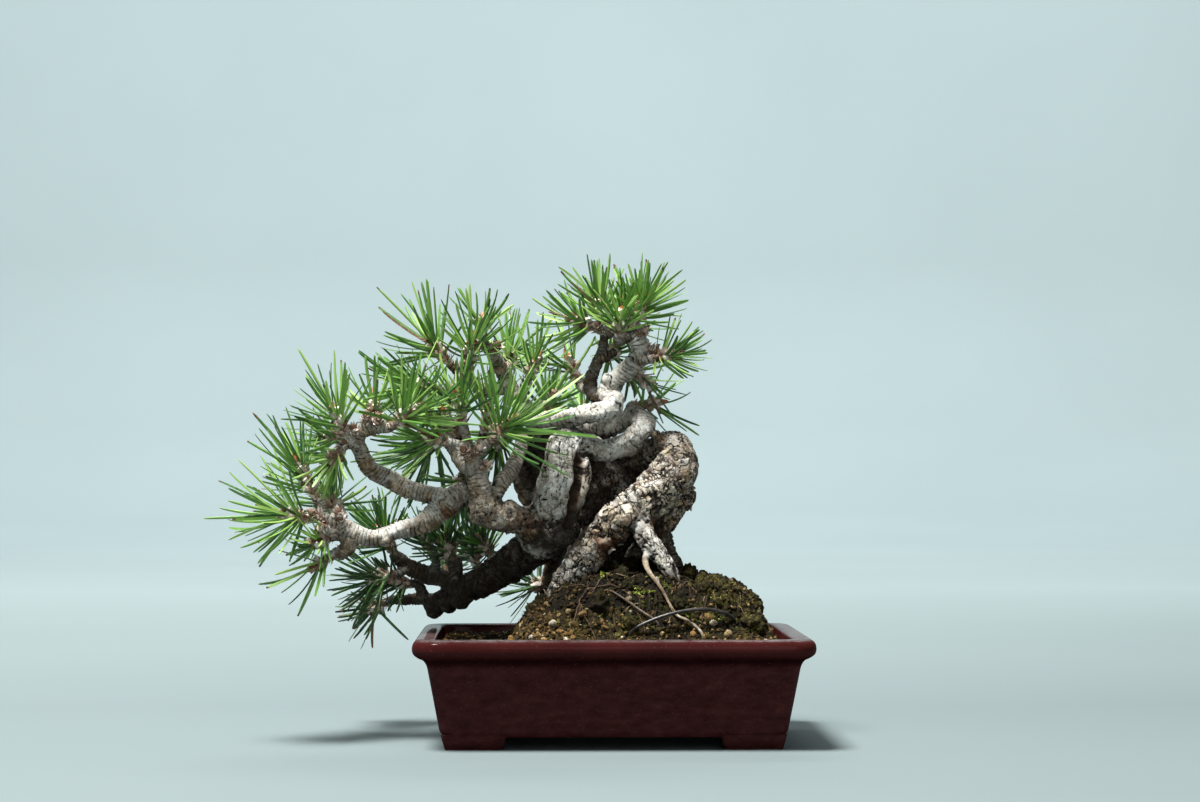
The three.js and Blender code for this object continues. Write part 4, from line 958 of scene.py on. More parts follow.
def soil_look():
    """Wet dark soil with humus crumbs and a green film in places, with painted shade in its dips
    and round the foot of the tree.
    """
    look = Look("wet_soil", Specular_IOR_Level=0.12)
    crumbs = look.noise(900, 6, 0.75)
    patch = look.noise(95, 4, 0.6)
    colour = look.ramp(crumbs, (0.38, (0.002, 0.0017, 0.001)), (0.5, (0.011, 0.0075, 0.0038)),
                       (0.60, (0.050, 0.034, 0.014)), (0.72, (0.25, 0.165, 0.075)))
    film = look.ramp(look.noise(1100, 5, 0.75), (0.38, (0.003, 0.003, 0.001)), (0.5, (0.036, 0.032, 0.007)),
                     (0.60, (0.14, 0.120, 0.025)), (0.70, (0.32, 0.29, 0.07)))
    colour = look.blend(look.spread(patch, 0.42, 0.58, 0.1, 0.85), colour, film)
    ochre = look.ramp(crumbs, (0.36, (0.004, 0.0025, 0.001)), (0.5, (0.105, 0.057, 0.014)),
                      (0.66, (0.44, 0.25, 0.080)))
    side = look.times(look.spread(look.part("X"), 0.012, 0.034, 1, 0),
                      look.spread(look.part("Z"), 0.037, 0.049, 0.75, 0))
    colour = look.blend(look.times(side, look.spread(look.noise(160), 0.38, 0.56)), colour, ochre)
    # Painted shade in the dips of the soil
    colour = look.blend(look.times(look.value("hollow_shade"), 0.9), colour, (0.0025, 0.002, 0.0012))
    # Painted shade under the tree
    colour = look.blend(shade_under_tree(look), colour, (0.0035, 0.003, 0.002))
    rough = look.spread(look.noise(700), 0.35, 0.65, 0.55, 0.95)
    normal = look.bump(look.noise(2600, 4, 0.75), 0.7, 0.35)
    return look.done(colour, rough, look.bump(crumbs, 0.8, 0.8, normal))


def grain_look():
    """Grains of fired clay and pumice, from dark to orange, tan and chalky."""
    look = Look("grain", Roughness=0.92, Specular_IOR_Level=0.12)
    tone = look.value("tint")
    colour = look.ramp(tone, (0.0, (0.006, 0.005, 0.003)), (0.25, (0.030, 0.022, 0.009)),
                       (0.42, (0.105, 0.070, 0.022)), (0.6, (0.27, 0.155, 0.055)),
                       (0.8, (0.40, 0.28, 0.12)), (1.0, (0.66, 0.60, 0.46)))
    spots = look.spread(look.noise(1500, 4, 0.75), 0.40, 0.56, 0.85, 0)
    colour = look.blend(spots, colour, (0.035, 0.024, 0.012))
    # Painted shade under the tree
    colour = look.blend(shade_under_tree(look), colour, (0.006, 0.005, 0.003))
    return look.done(colour, None, look.bump(look.noise(3000, 4, 0.7), 0.5, 0.3))


def moss_look():
    """Short moss, from brown-ochre to fresh green."""
    look = Look("moss", Roughness=0.7, Specular_IOR_Level=0.3)
    tone = look.plus(look.value("tint"), look.spread(look.noise(1300, 2, 0.5), 0.3, 0.7, -0.08, 0.08))
    colour = look.ramp(tone, (0.0, (0.045, 0.030, 0.008)), (0.25, (0.22, 0.135, 0.030)),
                       (0.45, (0.110, 0.105, 0.017)), (0.75, (0.17, 0.22, 0.024)), (1.0, (0.40, 0.46, 0.07)))
    return look.done(colour, None, look.bump(look.noise(3200, 2, 0.5), 0.2, 0.1))


def fibre_look():
    """Fine roots, from nearly black to straw."""
    look = Look("root_fibre", Roughness=0.8, Specular_IOR_Level=0.3)
    tone = look.plus(look.value("tint"), look.spread(look.noise(1200, 3), 0.3, 0.7, -0.12, 0.12))
    colour = look.ramp(tone, (0.0, (0.014, 0.009, 0.006)), (0.4, (0.095, 0.055, 0.032)),
                       (0.75, (0.27, 0.19, 0.125)), (1.0, (0.52, 0.43, 0.31)))
    return look.done(colour, None, look.bump(look.noise(2600, 3, 0.6), 0.4, 0.15))


def wire_look():
    """Dark annealed wire, a little scuffed."""
    look = Look("wire", Metallic=0.6)
    scuffs = look.noise(350, 3, 0.5)
    colour = look.ramp(scuffs, (0.35, (0.030, 0.028, 0.027)), (0.75, (0.085, 0.080, 0.076)))
    return look.done(colour, look.spread(scuffs, 0.3, 0.7, 0.30, 0.40), look.bump(scuffs, 0.1, 0.1))


def mesh_look():
    """Black moulded plastic mesh."""
    look = Look("screen", Roughness=0.5)
    tone = look.noise(800, 3, 0.6)
    colour = look.ramp(tone, (0.35, (0.012, 0.012, 0.013)), (0.7, (0.030, 0.030, 0.032)))
    return look.done(colour, None, look.bump(look.noise(2600), 0.15, 0.1))


# Pot


def corner_ring(half_x, half_y, corner, z, steps=10, sides=22):
    """A level ring round a rectangle with round corners."""
    ring = []
    for quarter, (sx, sy) in enumerate(((1, 1), (-1, 1), (-1, -1), (1, -1))):
        for turn in np.linspace(quarter, quarter + 1, steps + 1) * TURN / 4:
            x = sx * (half_x - corner) + corner * math.cos(turn)
            y = sy * (half_y - corner) + corner * math.sin(turn)
            ring.append((x, y, z))
    full = []
    for here, after in zip(ring, ring[1:] + ring[:1]):
        long_side = math.dist(here, after) > 0.4 * RIM_DEPTH
        count = sides if long_side else 1
        full += [tuple(np.add(here, np.subtract(after, here) * k / count)) for k in range(count)]
    return full


def pot_ring(inset, z):
    corner = max(RIM_CORNER + 2 - 0.4 * inset, 2.5)
    return corner_ring(RIM_LENGTH / 2 - inset, RIM_DEPTH / 2 - inset, corner, z)


def inner_inset(z):
    under_lip = POT_HEIGHT - LIP_HEIGHT
    drop = (under_lip - z) / (under_lip - FOOT_HEIGHT)
    return LIP_REACH + WALL_THICK + WALL_LEAN * max(drop, 0)


def rounded(profile, radius, steps=4):
    """A profile with its corners rounded off."""
    points = [np.array(p, float) for p in profile]
    line = [points[0]]
    for before, here, after in zip(points, points[1:], points[2:]):
        back = min(radius, 0.45 * np.linalg.norm(before - here))
        on = min(radius, 0.45 * np.linalg.norm(after - here))
        a = here + unit(before - here) * back
        b = here + unit(after - here) * on
        for t in np.linspace(0, 1, steps + 1):
            line.append((1 - t) ** 2 * a + 2 * t * (1 - t) * here + t * t * b)
    return line + [points[-1]]


def pot_mesh():
    top = POT_HEIGHT
    under = top - LIP_HEIGHT
    floor = FOOT_HEIGHT + FLOOR_THICK
    outer = [
        (LIP_REACH + WALL_LEAN + 1.6, FOOT_HEIGHT), (LIP_REACH + WALL_LEAN, FOOT_HEIGHT + 1.4),
        (LIP_REACH + 0.15, under - 2.2), (LIP_REACH - 0.9, under - 0.4), (1.9, under + 0.3),
        (0.3, under + 1.6), (0, top - 2.9), (0.4, top - 1.2), (1.6, top - 0.15), (2.8, top),
        (5.8, top), (6.9, top - 0.4), (RIM_WIDTH, top - 1.8), (inner_inset(under), under),
        (inner_inset(floor) + 0.2, floor + 2), (inner_inset(floor) + 2.4, floor),
    ]
    rings = [pot_ring(inset, z) for inset, z in rounded(outer, 1.1)]
    pot = raw_mesh("pot", [p for ring in rings for p in ring], ring_faces(len(rings), len(rings[0])))
    cutters = []
    foot_x = RIM_LENGTH / 2 - LIP_REACH - WALL_LEAN - 0.6
    foot_y = RIM_DEPTH / 2 - LIP_REACH - WALL_LEAN - 0.6
    outline = [(0, 0), (FOOT_SPAN, 0), (FOOT_SPAN, FOOT_WIDTH), (FOOT_WIDTH, FOOT_WIDTH),
               (FOOT_WIDTH, FOOT_SPAN * 0.8), (0, FOOT_SPAN * 0.8)]
    for sx, sy in ((1, 1), (-1, 1), (-1, -1), (1, -1)):
        rings = []
        for z, draft in ((0, 1.25), (0.3, 1), (FOOT_HEIGHT - 0.8, 0.2), (FOOT_HEIGHT + 0.9, -0.1)):
            level = foot_outline(outline, draft)
            ring = [(sx * (foot_x - x), sy * (foot_y - y), z) for x, y in level]
            rings += ring if sx * sy > 0 else ring[::-1]
        cutters.append(("UNION", raw_mesh("foot", rings, ring_faces(4, len(rings) // 4))))
    for side in (-1, 1):
        levels = ((DRAIN_RADIUS + 0.9, -1), (DRAIN_RADIUS + 0.7, FOOT_HEIGHT - 0.01),
                  (DRAIN_RADIUS, FOOT_HEIGHT + 0.7), (DRAIN_RADIUS, floor - 0.6),
                  (DRAIN_RADIUS + 0.6, floor + 0.01), (DRAIN_RADIUS + 0.6, floor + 1))
        hole = [(side * DRAIN_X + r * math.cos(t), r * math.sin(t), z) for r, z in levels
                for t in turns_of(DRAIN_SIDES)]
        cutters.append(("DIFFERENCE", raw_mesh("drain", hole, ring_faces(len(levels), DRAIN_SIDES))))
    for operation, cutter in cutters:
        tool = put("tool", cutter)
        pot = changed(pot, "BOOLEAN", operation=operation, object=tool, solver="EXACT")
        bpy.data.objects.remove(tool)
    return pot


def foot_outline(outline, draft):
    """The L of a foot, drawn in by the draft and with its corners rounded."""
    ring = []
    for i in range(len(outline)):
        before, here, after = (np.array(outline[(i + k) % len(outline)], float) for k in (-1, 0, 1))
        inward = unit(after - here) + unit(before - here)
        reflex = (here == FOOT_WIDTH).all()
        place = here + inward * draft * (-1 if reflex else 1)
        for t in np.linspace(0, 1, 4):
            a = place + unit(before - here) * 0.9
            b = place + unit(after - here) * 0.9
            ring.append(tuple((1 - t) ** 2 * a + 2 * t * (1 - t) * place + t * t * b))
    return ring


def make_pot():
    mesh = pot_mesh()
    points, _, _ = read_mesh(mesh)
    height = points[:, 2]
    reach = np.maximum(np.abs(points[:, 0]) - RIM_LENGTH / 2, np.abs(points[:, 1]) - RIM_DEPTH / 2)
    under = POT_HEIGHT - LIP_HEIGHT
    thin = ease(under - 0.5, under + 1.6, height) * (reach > -RIM_WIDTH - 0.5)
    crest = np.exp(-((height - POT_HEIGHT + 3) / 1.6) ** 2) * (reach > -3)
    # Painted shade: a dark band under the lip, which also loses its clear coat
    shade = np.exp(-((height - under + 0.5) / 1.7) ** 2) * (reach > -LIP_REACH - 2)
    # Painted reflection and dust: the rim's top gets a pale streaked colour, and more clear coat
    rim_dust_and_sheen = ease(POT_HEIGHT - 0.9, POT_HEIGHT - 0.1, height)
    values = {"thin": 0.75 * thin + 0.35 * crest, "shade": 0.8 * shade, "rim_dust_and_sheen": rim_dust_and_sheen}
    set_values(mesh, {name: np.clip(value, 0, 1) for name, value in values.items()})
    wave = 0.10 * layered(points / 23 + 5, 2, 3) + 0.04 * noise(points / 6, 8)
    outer = (height > FOOT_HEIGHT + 1) & (reach > -LIP_REACH - WALL_LEAN - 1)
    middle = points * (1, 1, 0)
    away = middle / np.maximum(np.linalg.norm(middle, axis=1, keepdims=True), 1)
    points += away * (wave * outer)[:, None]
    wider = END_SPREAD + END_FLARE * ease(under, FOOT_HEIGHT, height)
    points[:, 0] += points[:, 0] / (RIM_LENGTH / 2) * wider
    set_points(mesh, points)
    bare = [face.index for face in mesh.polygons if face.center.z < 0.35
            or (face.normal.z < -0.9 and face.center.z < FOOT_HEIGHT + 1)
            or (face.center.z < POT_HEIGHT - 5 and inside_pot(face.center))]
    looks = np.zeros(len(mesh.polygons), np.int32)
    looks[bare] = 1
    mesh.polygons.foreach_set("material_index", looks)
    finished("pot_glazed", mesh, [glaze_look(), clay_look()], ["pot"], True, 38)


def inside_pot(place):
    inset = inner_inset(place.z) - 0.4
    return abs(place.x) < RIM_LENGTH / 2 - inset and abs(place.y) < RIM_DEPTH / 2 - inset


def make_screens():
    """Moulded plastic mesh over each drain hole."""
    material = mesh_look()
    bottom = FOOT_HEIGHT + FLOOR_THICK + GAP
    half = SCREEN_SIZE / 2
    for side, label in ((-1, "left"), (1, "right")):
        shape = Shape()
        for k in range(13):
            at = mix(-half + 0.35, half - 0.35, k / 12)
            for line, lift in (
                ([(at, -half, 0), (at, half, 0)], 0.26), ([(-half, at, 0), (half, at, 0)], 0.5),
            ):
                points = [np.add(p, (side * DRAIN_X, 0, bottom + lift)) for p in line]
                shape.add(*tube(points, 0.25, 8))
        build(f"drain_mesh_{label}", shape, [material], [f"drain_screen_{label}"])


# Soil


def mound_top(x):
    xs, zs = zip(*MOUND_TOP)
    return np.interp(x, xs, zs, SOIL_LEVEL, SOIL_LEVEL)


def soil_height(x, y):
    across = ease(*MOUND_FRONT, y) * (1 - ease(*MOUND_BACK, y))
    return SOIL_LEVEL + (mound_top(x) - SOIL_LEVEL) * across


def soil_surface(x, y):
    """The fine surface: clods and crumbs on the smooth mound."""
    x = np.atleast_1d(np.asarray(x, float))
    y = np.atleast_1d(np.asarray(y, float))
    base = soil_height(x, y)
    spot = np.stack([x, y, base], axis=1)
    up = ease(SOIL_LEVEL + 1, SOIL_LEVEL + 9, base)
    warp = 0.3 * np.stack([noise(spot / 4, k) for k in (5, 6, 7)], axis=1)
    clods, margin, mark, slant = cells(spot / 3.4 + warp, 11)
    crumbs = cells(spot / 1.3, 29)[0]
    lumps = layered(spot / 7, 3, 41)
    fine = cells(spot / 0.95 + warp, 31)[0]
    height = 1.3 * lumps * (0.3 + 0.7 * up)
    height += (1.3 * (0.5 - clods) + 1.1 * (mark - 0.5) + 0.9 * slant) * (0.25 + 0.75 * up)
    height += (0.75 * (0.5 - crumbs) + 0.4 * (0.5 - fine)) * (0.6 + 0.4 * up)
    height -= 1.0 * up * (1 - ease(0, 0.18, margin))
    return base + height - 0.25


def make_soil():
    rim = RIM_WIDTH + GAP
    half_x, half_y = RIM_LENGTH / 2 - rim, RIM_DEPTH / 2 - rim
    xs = np.linspace(-half_x, half_x, int(2 * half_x / SOIL_STEP))
    ys = np.linspace(-half_y, half_y, int(2 * half_y / SOIL_STEP))
    x, y = (a.ravel() for a in np.meshgrid(xs, ys, indexing="ij"))
    over_x = np.maximum(np.abs(x) - half_x + SOIL_CORNER, 0)
    over_y = np.maximum(np.abs(y) - half_y + SOIL_CORNER, 0)
    past = np.maximum(np.hypot(over_x, over_y) / SOIL_CORNER, 1)
    x -= np.sign(x) * over_x * (1 - 1 / past)
    y -= np.sign(y) * over_y * (1 - 1 / past)
    top = np.stack([x, y, soil_surface(x, y)], axis=1)
    rows = len(ys)
    corners = [i * rows + j for i in range(len(xs) - 1) for j in range(rows - 1)]
    faces = [(a, a + rows, a + rows + 1, a + 1) for a in corners]
    edge = [i * rows for i in range(len(xs) - 1)]
    edge += [(len(xs) - 1) * rows + j for j in range(rows - 1)]
    edge += [i * rows + rows - 1 for i in range(len(xs) - 1, 0, -1)]
    edge += list(range(rows - 1, 0, -1))
    floor = FOOT_HEIGHT + FLOOR_THICK + GAP
    levels = [top[edge]]
    for z in (POT_HEIGHT - LIP_HEIGHT, floor + SCREEN_THICK + 1.2):
        inset = inner_inset(z) + GAP + 0.3
        scale = ((RIM_LENGTH / 2 - inset) / half_x, (RIM_DEPTH / 2 - inset) / half_y, 0)
        levels.append(top[edge] * scale + (0, 0, z))
    count = len(edge)
    walls = [face[::-1] for face in ring_faces(len(levels), count, False)]
    shape = Shape()
    shape.add(top, faces)
    shape.add(np.concatenate(levels), walls + [tuple(range(2 * count, 3 * count))])
    mesh = raw_mesh("soil", shape.all_points(), shape.faces)
    mesh = changed(mesh, "WELD", merge_threshold=0.001)
    points = read_mesh(mesh)[0]
    # Painted shade: the soil is darker where its surface dips below the smooth mound
    set_values(mesh, {"hollow_shade": ease(0.2, -1.1, points[:, 2] - soil_height(points[:, 0], points[:, 1]))})
    finished("soil_bed", mesh, [soil_look()], ["soil"])


def pebble(draw, detail):
    """A rough little stone of about unit radius."""
    phi = (1 + math.sqrt(5)) / 2
    base = np.array([(s, t * phi, 0) for s in (-1, 1) for t in (-1, 1)])
    points = np.concatenate([np.roll(base, k, axis=1) for k in range(3)])
    points /= np.linalg.norm(points[0])
    faces = [
        (i, j, k) for i in range(12) for j in range(i + 1, 12) for k in range(j + 1, 12)
        if max(np.linalg.norm(points[i] - points[j]), np.linalg.norm(points[j] - points[k]),
               np.linalg.norm(points[i] - points[k])) < 1.1
    ]
    faces = [f if np.dot(np.cross(points[f[1]] - points[f[0]], points[f[2]] - points[f[0]]), points[f[0]]) > 0
             else f[::-1] for f in faces]
    for _ in range(detail):
        points, faces = halved(points, faces)
    rough = 1 + 0.38 * noise(points * 1.1 + draw.uniform(0, 50, 3), 3) + 0.2 * noise(points * 2.7 + 9, 5)
    return points * rough[:, None] * draw.uniform(0.72, 1.15, 3), faces


def halved(points, faces):
    """Every triangle of a ball cut in four."""
    points = list(points)
    seen = {}

    def middle(a, b):
        key = (min(a, b), max(a, b))
        if key not in seen:
            seen[key] = len(points)
            points.append(unit(np.add(points[a], points[b])))
        return seen[key]

    made = []
    for a, b, c in faces:
        ab, bc, ca = middle(a, b), middle(b, c), middle(c, a)
        made += [(a, ab, ca), (ab, b, bc), (ca, bc, c), (ab, bc, ca)]
    return np.array(points), made


def turned(points, draw):
    """Points turned at random."""
    axis = unit(draw.normal(size=3))
    angle = draw.uniform(0, TURN)
    cross = np.cross(axis, points)
    along = np.outer(points @ axis, axis)
    return points * math.cos(angle) + cross * math.sin(angle) + along * (1 - math.cos(angle))


def scatter_places(draw, count, chance):
    """Places on the soil, kept where a chance from 0 to 1 allows."""
    x, y = (draw.uniform(-half, half, count) for half in (
        RIM_LENGTH / 2 - RIM_WIDTH - SCATTER_EDGE, RIM_DEPTH / 2 - RIM_WIDTH - SCATTER_EDGE))
    keep = draw.uniform(size=count) < chance(x, y)
    x, y = x[keep], y[keep]
    step = SLOPE_STEP
    slope_x = (soil_surface(x + step, y) - soil_surface(x - step, y)) / (2 * step)
    slope_y = (soil_surface(x, y + step) - soil_surface(x, y - step)) / (2 * step)
    out = np.stack([-slope_x, -slope_y, np.ones(len(x))], axis=1)
    out /= np.linalg.norm(out, axis=1, keepdims=True)
    return np.stack([x, y, soil_surface(x, y)], axis=1), out


def blob(x, y, place, size):
    """A soft patch of chance round a place."""
    return np.exp(-(((x - place[0]) / size[0]) ** 2 + ((y - place[1]) / size[1]) ** 2))


def make_clods():
    """Lumps of dark peat that break up the mound."""
    draw = seeded("clods")
    large, small = ([pebble(draw, detail) for _ in range(4)] for detail in (3, 2))
    shape = Shape()

    def chance(x, y):
        return 0.06 + 0.55 * (soil_height(x, y) > SOIL_LEVEL + 5) * (0.4 + 0.6 * (x > 14))

    places, out = scatter_places(draw, CLOD_TRIES, chance)
    spots = [(place, way, draw.uniform(1.3, 3.1)) for place, way in zip(places, out)]
    spots += [(np.array(place, float), np.array((0.6, -0.4, 0.5)), size) for place, size in CLODS]
    for place, way, size in spots:
        points, faces = (large if size > BIG_CLOD else small)[draw.integers(len(large))]
        for share, scale, seed in ((0.22, 3.2, 21), (0.12, 7, 22)):
            points = points + share * points * noise(points * scale + draw.uniform(0, 9, 3), seed)[:, None]
        shape.add(turned(points * size, draw) + place - way * size * 0.25, faces)
    build("peat_clods", shape, [named("wet_soil")])


def make_grains():
    """Loose grains: tan and ochre clay to the front left, dark crumbs everywhere."""
    draw = seeded("grains")
    kinds = [pebble(draw, 1) for _ in range(9)]
    small = [pebble(draw, 0) for _ in range(6)]

    def clay(x, y):
        left = blob(x, y, (-16, -33), (17, 8)) + 0.6 * blob(x, y, (-36, -30), (18, 14))
        return np.clip(left + 0.3 * blob(x, y, (20, -31), (30, 7)) + 0.12 * (y > 20) + 0.05, 0, 1)

    shape = Shape()
    for place, way in zip(*scatter_places(draw, GRAIN_TRIES, clay)):
        points, faces = kinds[draw.integers(len(kinds))]
        size = 0.35 + 0.95 * draw.uniform() ** 1.8
        tint = np.clip(draw.normal(0.57, 0.22), 0.2, 1)
        centre = place + way * size * draw.uniform(-0.4, 0.25)
        shape.add(turned(points * size * draw.uniform(0.6, 1.25, 3), draw) + centre, faces, tint=tint)
    for place, way in zip(*scatter_places(draw, LARGE_GRAIN_TRIES, clay)):
        points, faces = kinds[draw.integers(len(kinds))]
        size = draw.uniform(0.95, 1.7)
        tint = np.clip(draw.normal(0.66, 0.16), 0.3, 1)
        centre = place - way * size * draw.uniform(0, 0.35)
        shape.add(turned(points * size * draw.uniform(0.7, 1.2, 3), draw) + centre, faces, tint=tint)
    for (x, y), size, tint in STONES:
        points, faces = kinds[draw.integers(len(kinds))]
        centre = (x, y, soil_surface(x, y)[0] + 0.7)
        shape.add(turned(points * size, draw) + centre, faces, tint=tint)
    build("clay_grains", shape, [grain_look()])

    shape = Shape()
    for place, way in zip(*scatter_places(draw, CRUMB_TRIES, lambda x, y: 0.8 + 0 * x)):
        points, faces = small[draw.integers(len(small))]
        size = 0.25 + 0.55 * draw.uniform() ** 2
        pale = draw.uniform() < 0.2
        tint = draw.uniform(0.36, 0.8) if pale else draw.uniform(0.0, 0.36)
        shape.add(turned(points * size, draw) + place + way * size * 0.3, faces, tint=tint)
    build("soil_crumbs", shape, [named("grain")])


def make_moss():
    """Tufts of short blades in patches."""
    draw = seeded("moss")
    shape = Shape()
    faces = [(0, 1, 3), (1, 2, 3), (2, 0, 3), (2, 1, 0)]
    for middle, size, tone in MOSS_PATCHES:
        tufts = scatter_places(draw, MOSS_TRIES, lambda x, y: 1.2 * blob(x, y, middle, size))
        for place, way in zip(*tufts):
            patchy = noise(place[None] / 3.5, 87)[0]
            if patchy < -0.15:
                continue
            tuft_tint = tone + 0.25 * patchy + draw.normal(0, 0.08)
            for _ in range(TUFT_BLADES):
                ahead = unit(way + (0, 0, 0.3) + 0.7 * draw.normal(size=3))
                side, other = square_to(ahead)
                length = draw.uniform(0.7, 1.8)
                width = draw.uniform(0.18, 0.3)
                foot = place + 0.4 * draw.normal(size=3) * (1, 1, 0.3) - ahead * 0.2
                ring = foot + width * spokes(turns_of(3), side, other)
                points = np.concatenate([ring, [foot + ahead * length]])
                shape.add(points, faces, tint=np.clip(tuft_tint + draw.normal(0, 0.07), 0, 1))
    build("moss", shape, [moss_look()], smooth=False)


def make_fibres():
    """Fine roots that mat the root ball."""
    draw = seeded("fibres")
    shape = Shape()

    def where(x, y):
        return np.clip((soil_height(x, y) - SOIL_LEVEL) / 8, 0.05, 1)

    for start in scatter_places(draw, FIBRE_TRIES, where)[0]:
        count = int(draw.integers(7, 15))
        heading = draw.uniform(0, TURN)
        x, y = start[:2]
        line = []
        for _ in range(count):
            heading += draw.normal(0, 0.38)
            x += FIBRE_STEP * math.cos(heading)
            y += FIBRE_STEP * math.sin(heading)
            if abs(x) > FIBRE_LIMIT[0] or abs(y) > FIBRE_LIMIT[1]:
                break
            line.append((x, y))
        if len(line) < SHORTEST_FIBRE:
            continue
        xs, ys = np.array(line).T
        lift = 0.3 + 0.7 * np.sin(np.linspace(0, math.pi, len(line))) * draw.uniform(0, 1)
        zs = soil_surface(xs, ys) + lift
        zs[[0, -1]] -= 0.9
        zs = np.convolve(np.pad(zs, 1, mode="edge"), (0.25, 0.5, 0.25), "valid")
        radius = 0.09 + 0.12 * draw.uniform() ** 2
        points, faces = tube(np.stack([xs, ys, zs], axis=1), radius, 5)
        shape.add(points, faces, tint=np.clip(draw.normal(0.3, 0.2), 0, 0.9))
    build("root_fibres", shape, [fibre_look()])


def make_wire():
    points = np.array([(*p, WIRE_RADIUS) for p in WIRE_PATH])
    rows = limb_rows(points, 0.6)
    shape = Shape()
    shape.add(*tube([row["centre"] for row in rows], WIRE_RADIUS, 14))
    build("wire_arch", shape, [wire_look()], ["tie_wire"])


# Wood


def spans(points):
    """The points of a limb, and the curve from each to the next as four coefficients."""
    p = np.array(points, float)
    ends = np.vstack([2 * p[0] - p[1], p, 2 * p[-1] - p[-2]])
    curves = []
    for before, a, b, after in zip(ends, ends[1:], ends[2:], ends[3:]):
        m0, m1 = (b - before) / 2, (after - a) / 2
        curves.append((a, m0, -3 * a + 3 * b - 2 * m0 - m1, 2 * a - 2 * b + m0 + m1))
    return p, curves


def on_curve(curve, t):
    c0, c1, c2, c3 = curve
    return (c0 + t * c1 + t * t * c2 + t ** 3 * c3)[:3]


def limb_rows(points, step):
    """Places along a limb: centre, way ahead, two square directions, radius and distance."""
    p, curves = spans(points)
    rows = []
    side = None
    along = 0.0
    for i, (a, b, curve) in enumerate(zip(p, p[1:], curves)):
        count = max(2, round(np.linalg.norm(b[:3] - a[:3]) / step))
        last = i == len(curves) - 1
        for t in np.arange(count + last) / count:
            centre = on_curve(curve, t)
            ahead = unit((curve[1] + 2 * t * curve[2] + 3 * t * t * curve[3])[:3])
            side = square_to(ahead)[0] if side is None else unit(side - ahead * side.dot(ahead))
            if rows:
                along += np.linalg.norm(centre - rows[-1]["centre"])
            rows.append({"centre": centre, "ahead": ahead, "side": side, "other": np.cross(ahead, side),
                         "radius": mix(a[3], b[3], t), "along": along})
    return rows


def bark_swell(along, turn):
    return (0.05 * np.sin(2 * turn + 0.21 * along) + 0.045 * np.sin(3 * turn - 0.37 * along + 1.1)
            + 0.03 * np.sin(5 * turn + 0.8 * along))


def stretches_of(points):
    """Short straight stretches of a limb: start, end and radius."""
    p, curves = spans(points)
    line = []
    count = len(curves) * STRETCHES
    for i in range(count + 1):
        span = min(i // STRETCHES, len(curves) - 1)
        line.append(on_curve(curves[span], i / STRETCHES - span))
    radii = [max(a[3], b[3]) for a, b in zip(p, p[1:])]
    return [(line[i], line[i + 1], radii[i // STRETCHES]) for i in range(count)]


def twig_points(shoot):
    """A twig from the nearest place on its limb to the base of its shoot."""
    limb, base, direction = shoot[:3]
    end = np.array(base, float)
    ahead = unit(direction)
    aim = end - ahead * TWIG_AIM
    start, finish, radius = min(stretches_of(LIMBS[limb]), key=lambda s: np.linalg.norm(s[1] - aim))
    start = mix(finish, start, TWIG_SINK)
    bend = end - ahead * TWIG_BEND * np.linalg.norm(start - end)
    foot_radius = min(radius * 0.85, TWIG_RADIUS * 1.25)
    return [(*start, foot_radius), (*bend, TWIG_RADIUS * 1.05), (*end, TWIG_RADIUS)]


def wood_points():
    """Every limb as one closed tube with a round end, and the bark's own coordinates along it."""
    shape = Shape()
    marks = []
    turns = turns_of(RING_SIDES)
    limbs = [(BARK[name], points) for name, points in (*LIMBS.items(), *KNOBS)]
    limbs += [(TWIG_BARK, twig_points(shoot)) for shoot in (*SHOOTS.values(), *FILL_SHOOTS.values())]
    for number, (bark, points) in enumerate(limbs):
        rows = limb_rows(points, RING_STEP)
        end = rows[-1]
        for share in (0.45, 0.8, 0.98):
            centre = end["centre"] + end["ahead"] * end["radius"] * 0.6 * share
            rows.append({**end, "centre": centre, "radius": end["radius"] * math.sqrt(1 - share * share)})
        rings = []
        for row in rows:
            swell = row["radius"] * (1 + bark_swell(row["along"], turns))
            ring = row["centre"] + spokes(turns, row["side"], row["other"]) * swell[:, None]
            rings.append(ring)
            marks += [(point, row, number, bark) for point in ring[::2]]
        shape.add(np.concatenate(rings), ring_faces(len(rings), RING_SIDES))
    return shape, marks


def near_line(points, line):
    """Distance from each point to a broken line."""
    line = np.array(line, float)
    least = np.full(len(points), 99.0)
    for a, b in zip(line, line[1:]):
        t = np.clip((points - a) @ (b - a) / ((b - a) @ (b - a)), 0, 1)
        least = np.minimum(least, np.linalg.norm(points - a - t[:, None] * (b - a), axis=1))
    return least


def occlusion(points, normals, faces):
    """How far each point is hidden from the open, from 0 to 1."""
    tree = BVHTree.FromPolygons(points.tolist(), faces)
    draw = seeded("occlusion")
    ways = draw.normal(size=(OCCLUSION_RAYS, 3))
    ways /= np.linalg.norm(ways, axis=1, keepdims=True)
    starts = (points + normals * 0.7).tolist()
    hidden = np.zeros(len(points))
    for way in ways:
        for i, ahead in enumerate((normals + way * 0.95 + (0, 0, 0.35)).tolist()):
            hit = tree.ray_cast(starts[i], ahead, OCCLUSION_REACH)[3]
            if hit is not None:
                hidden[i] += 1 - 0.6 * hit / OCCLUSION_REACH
    return hidden / OCCLUSION_RAYS


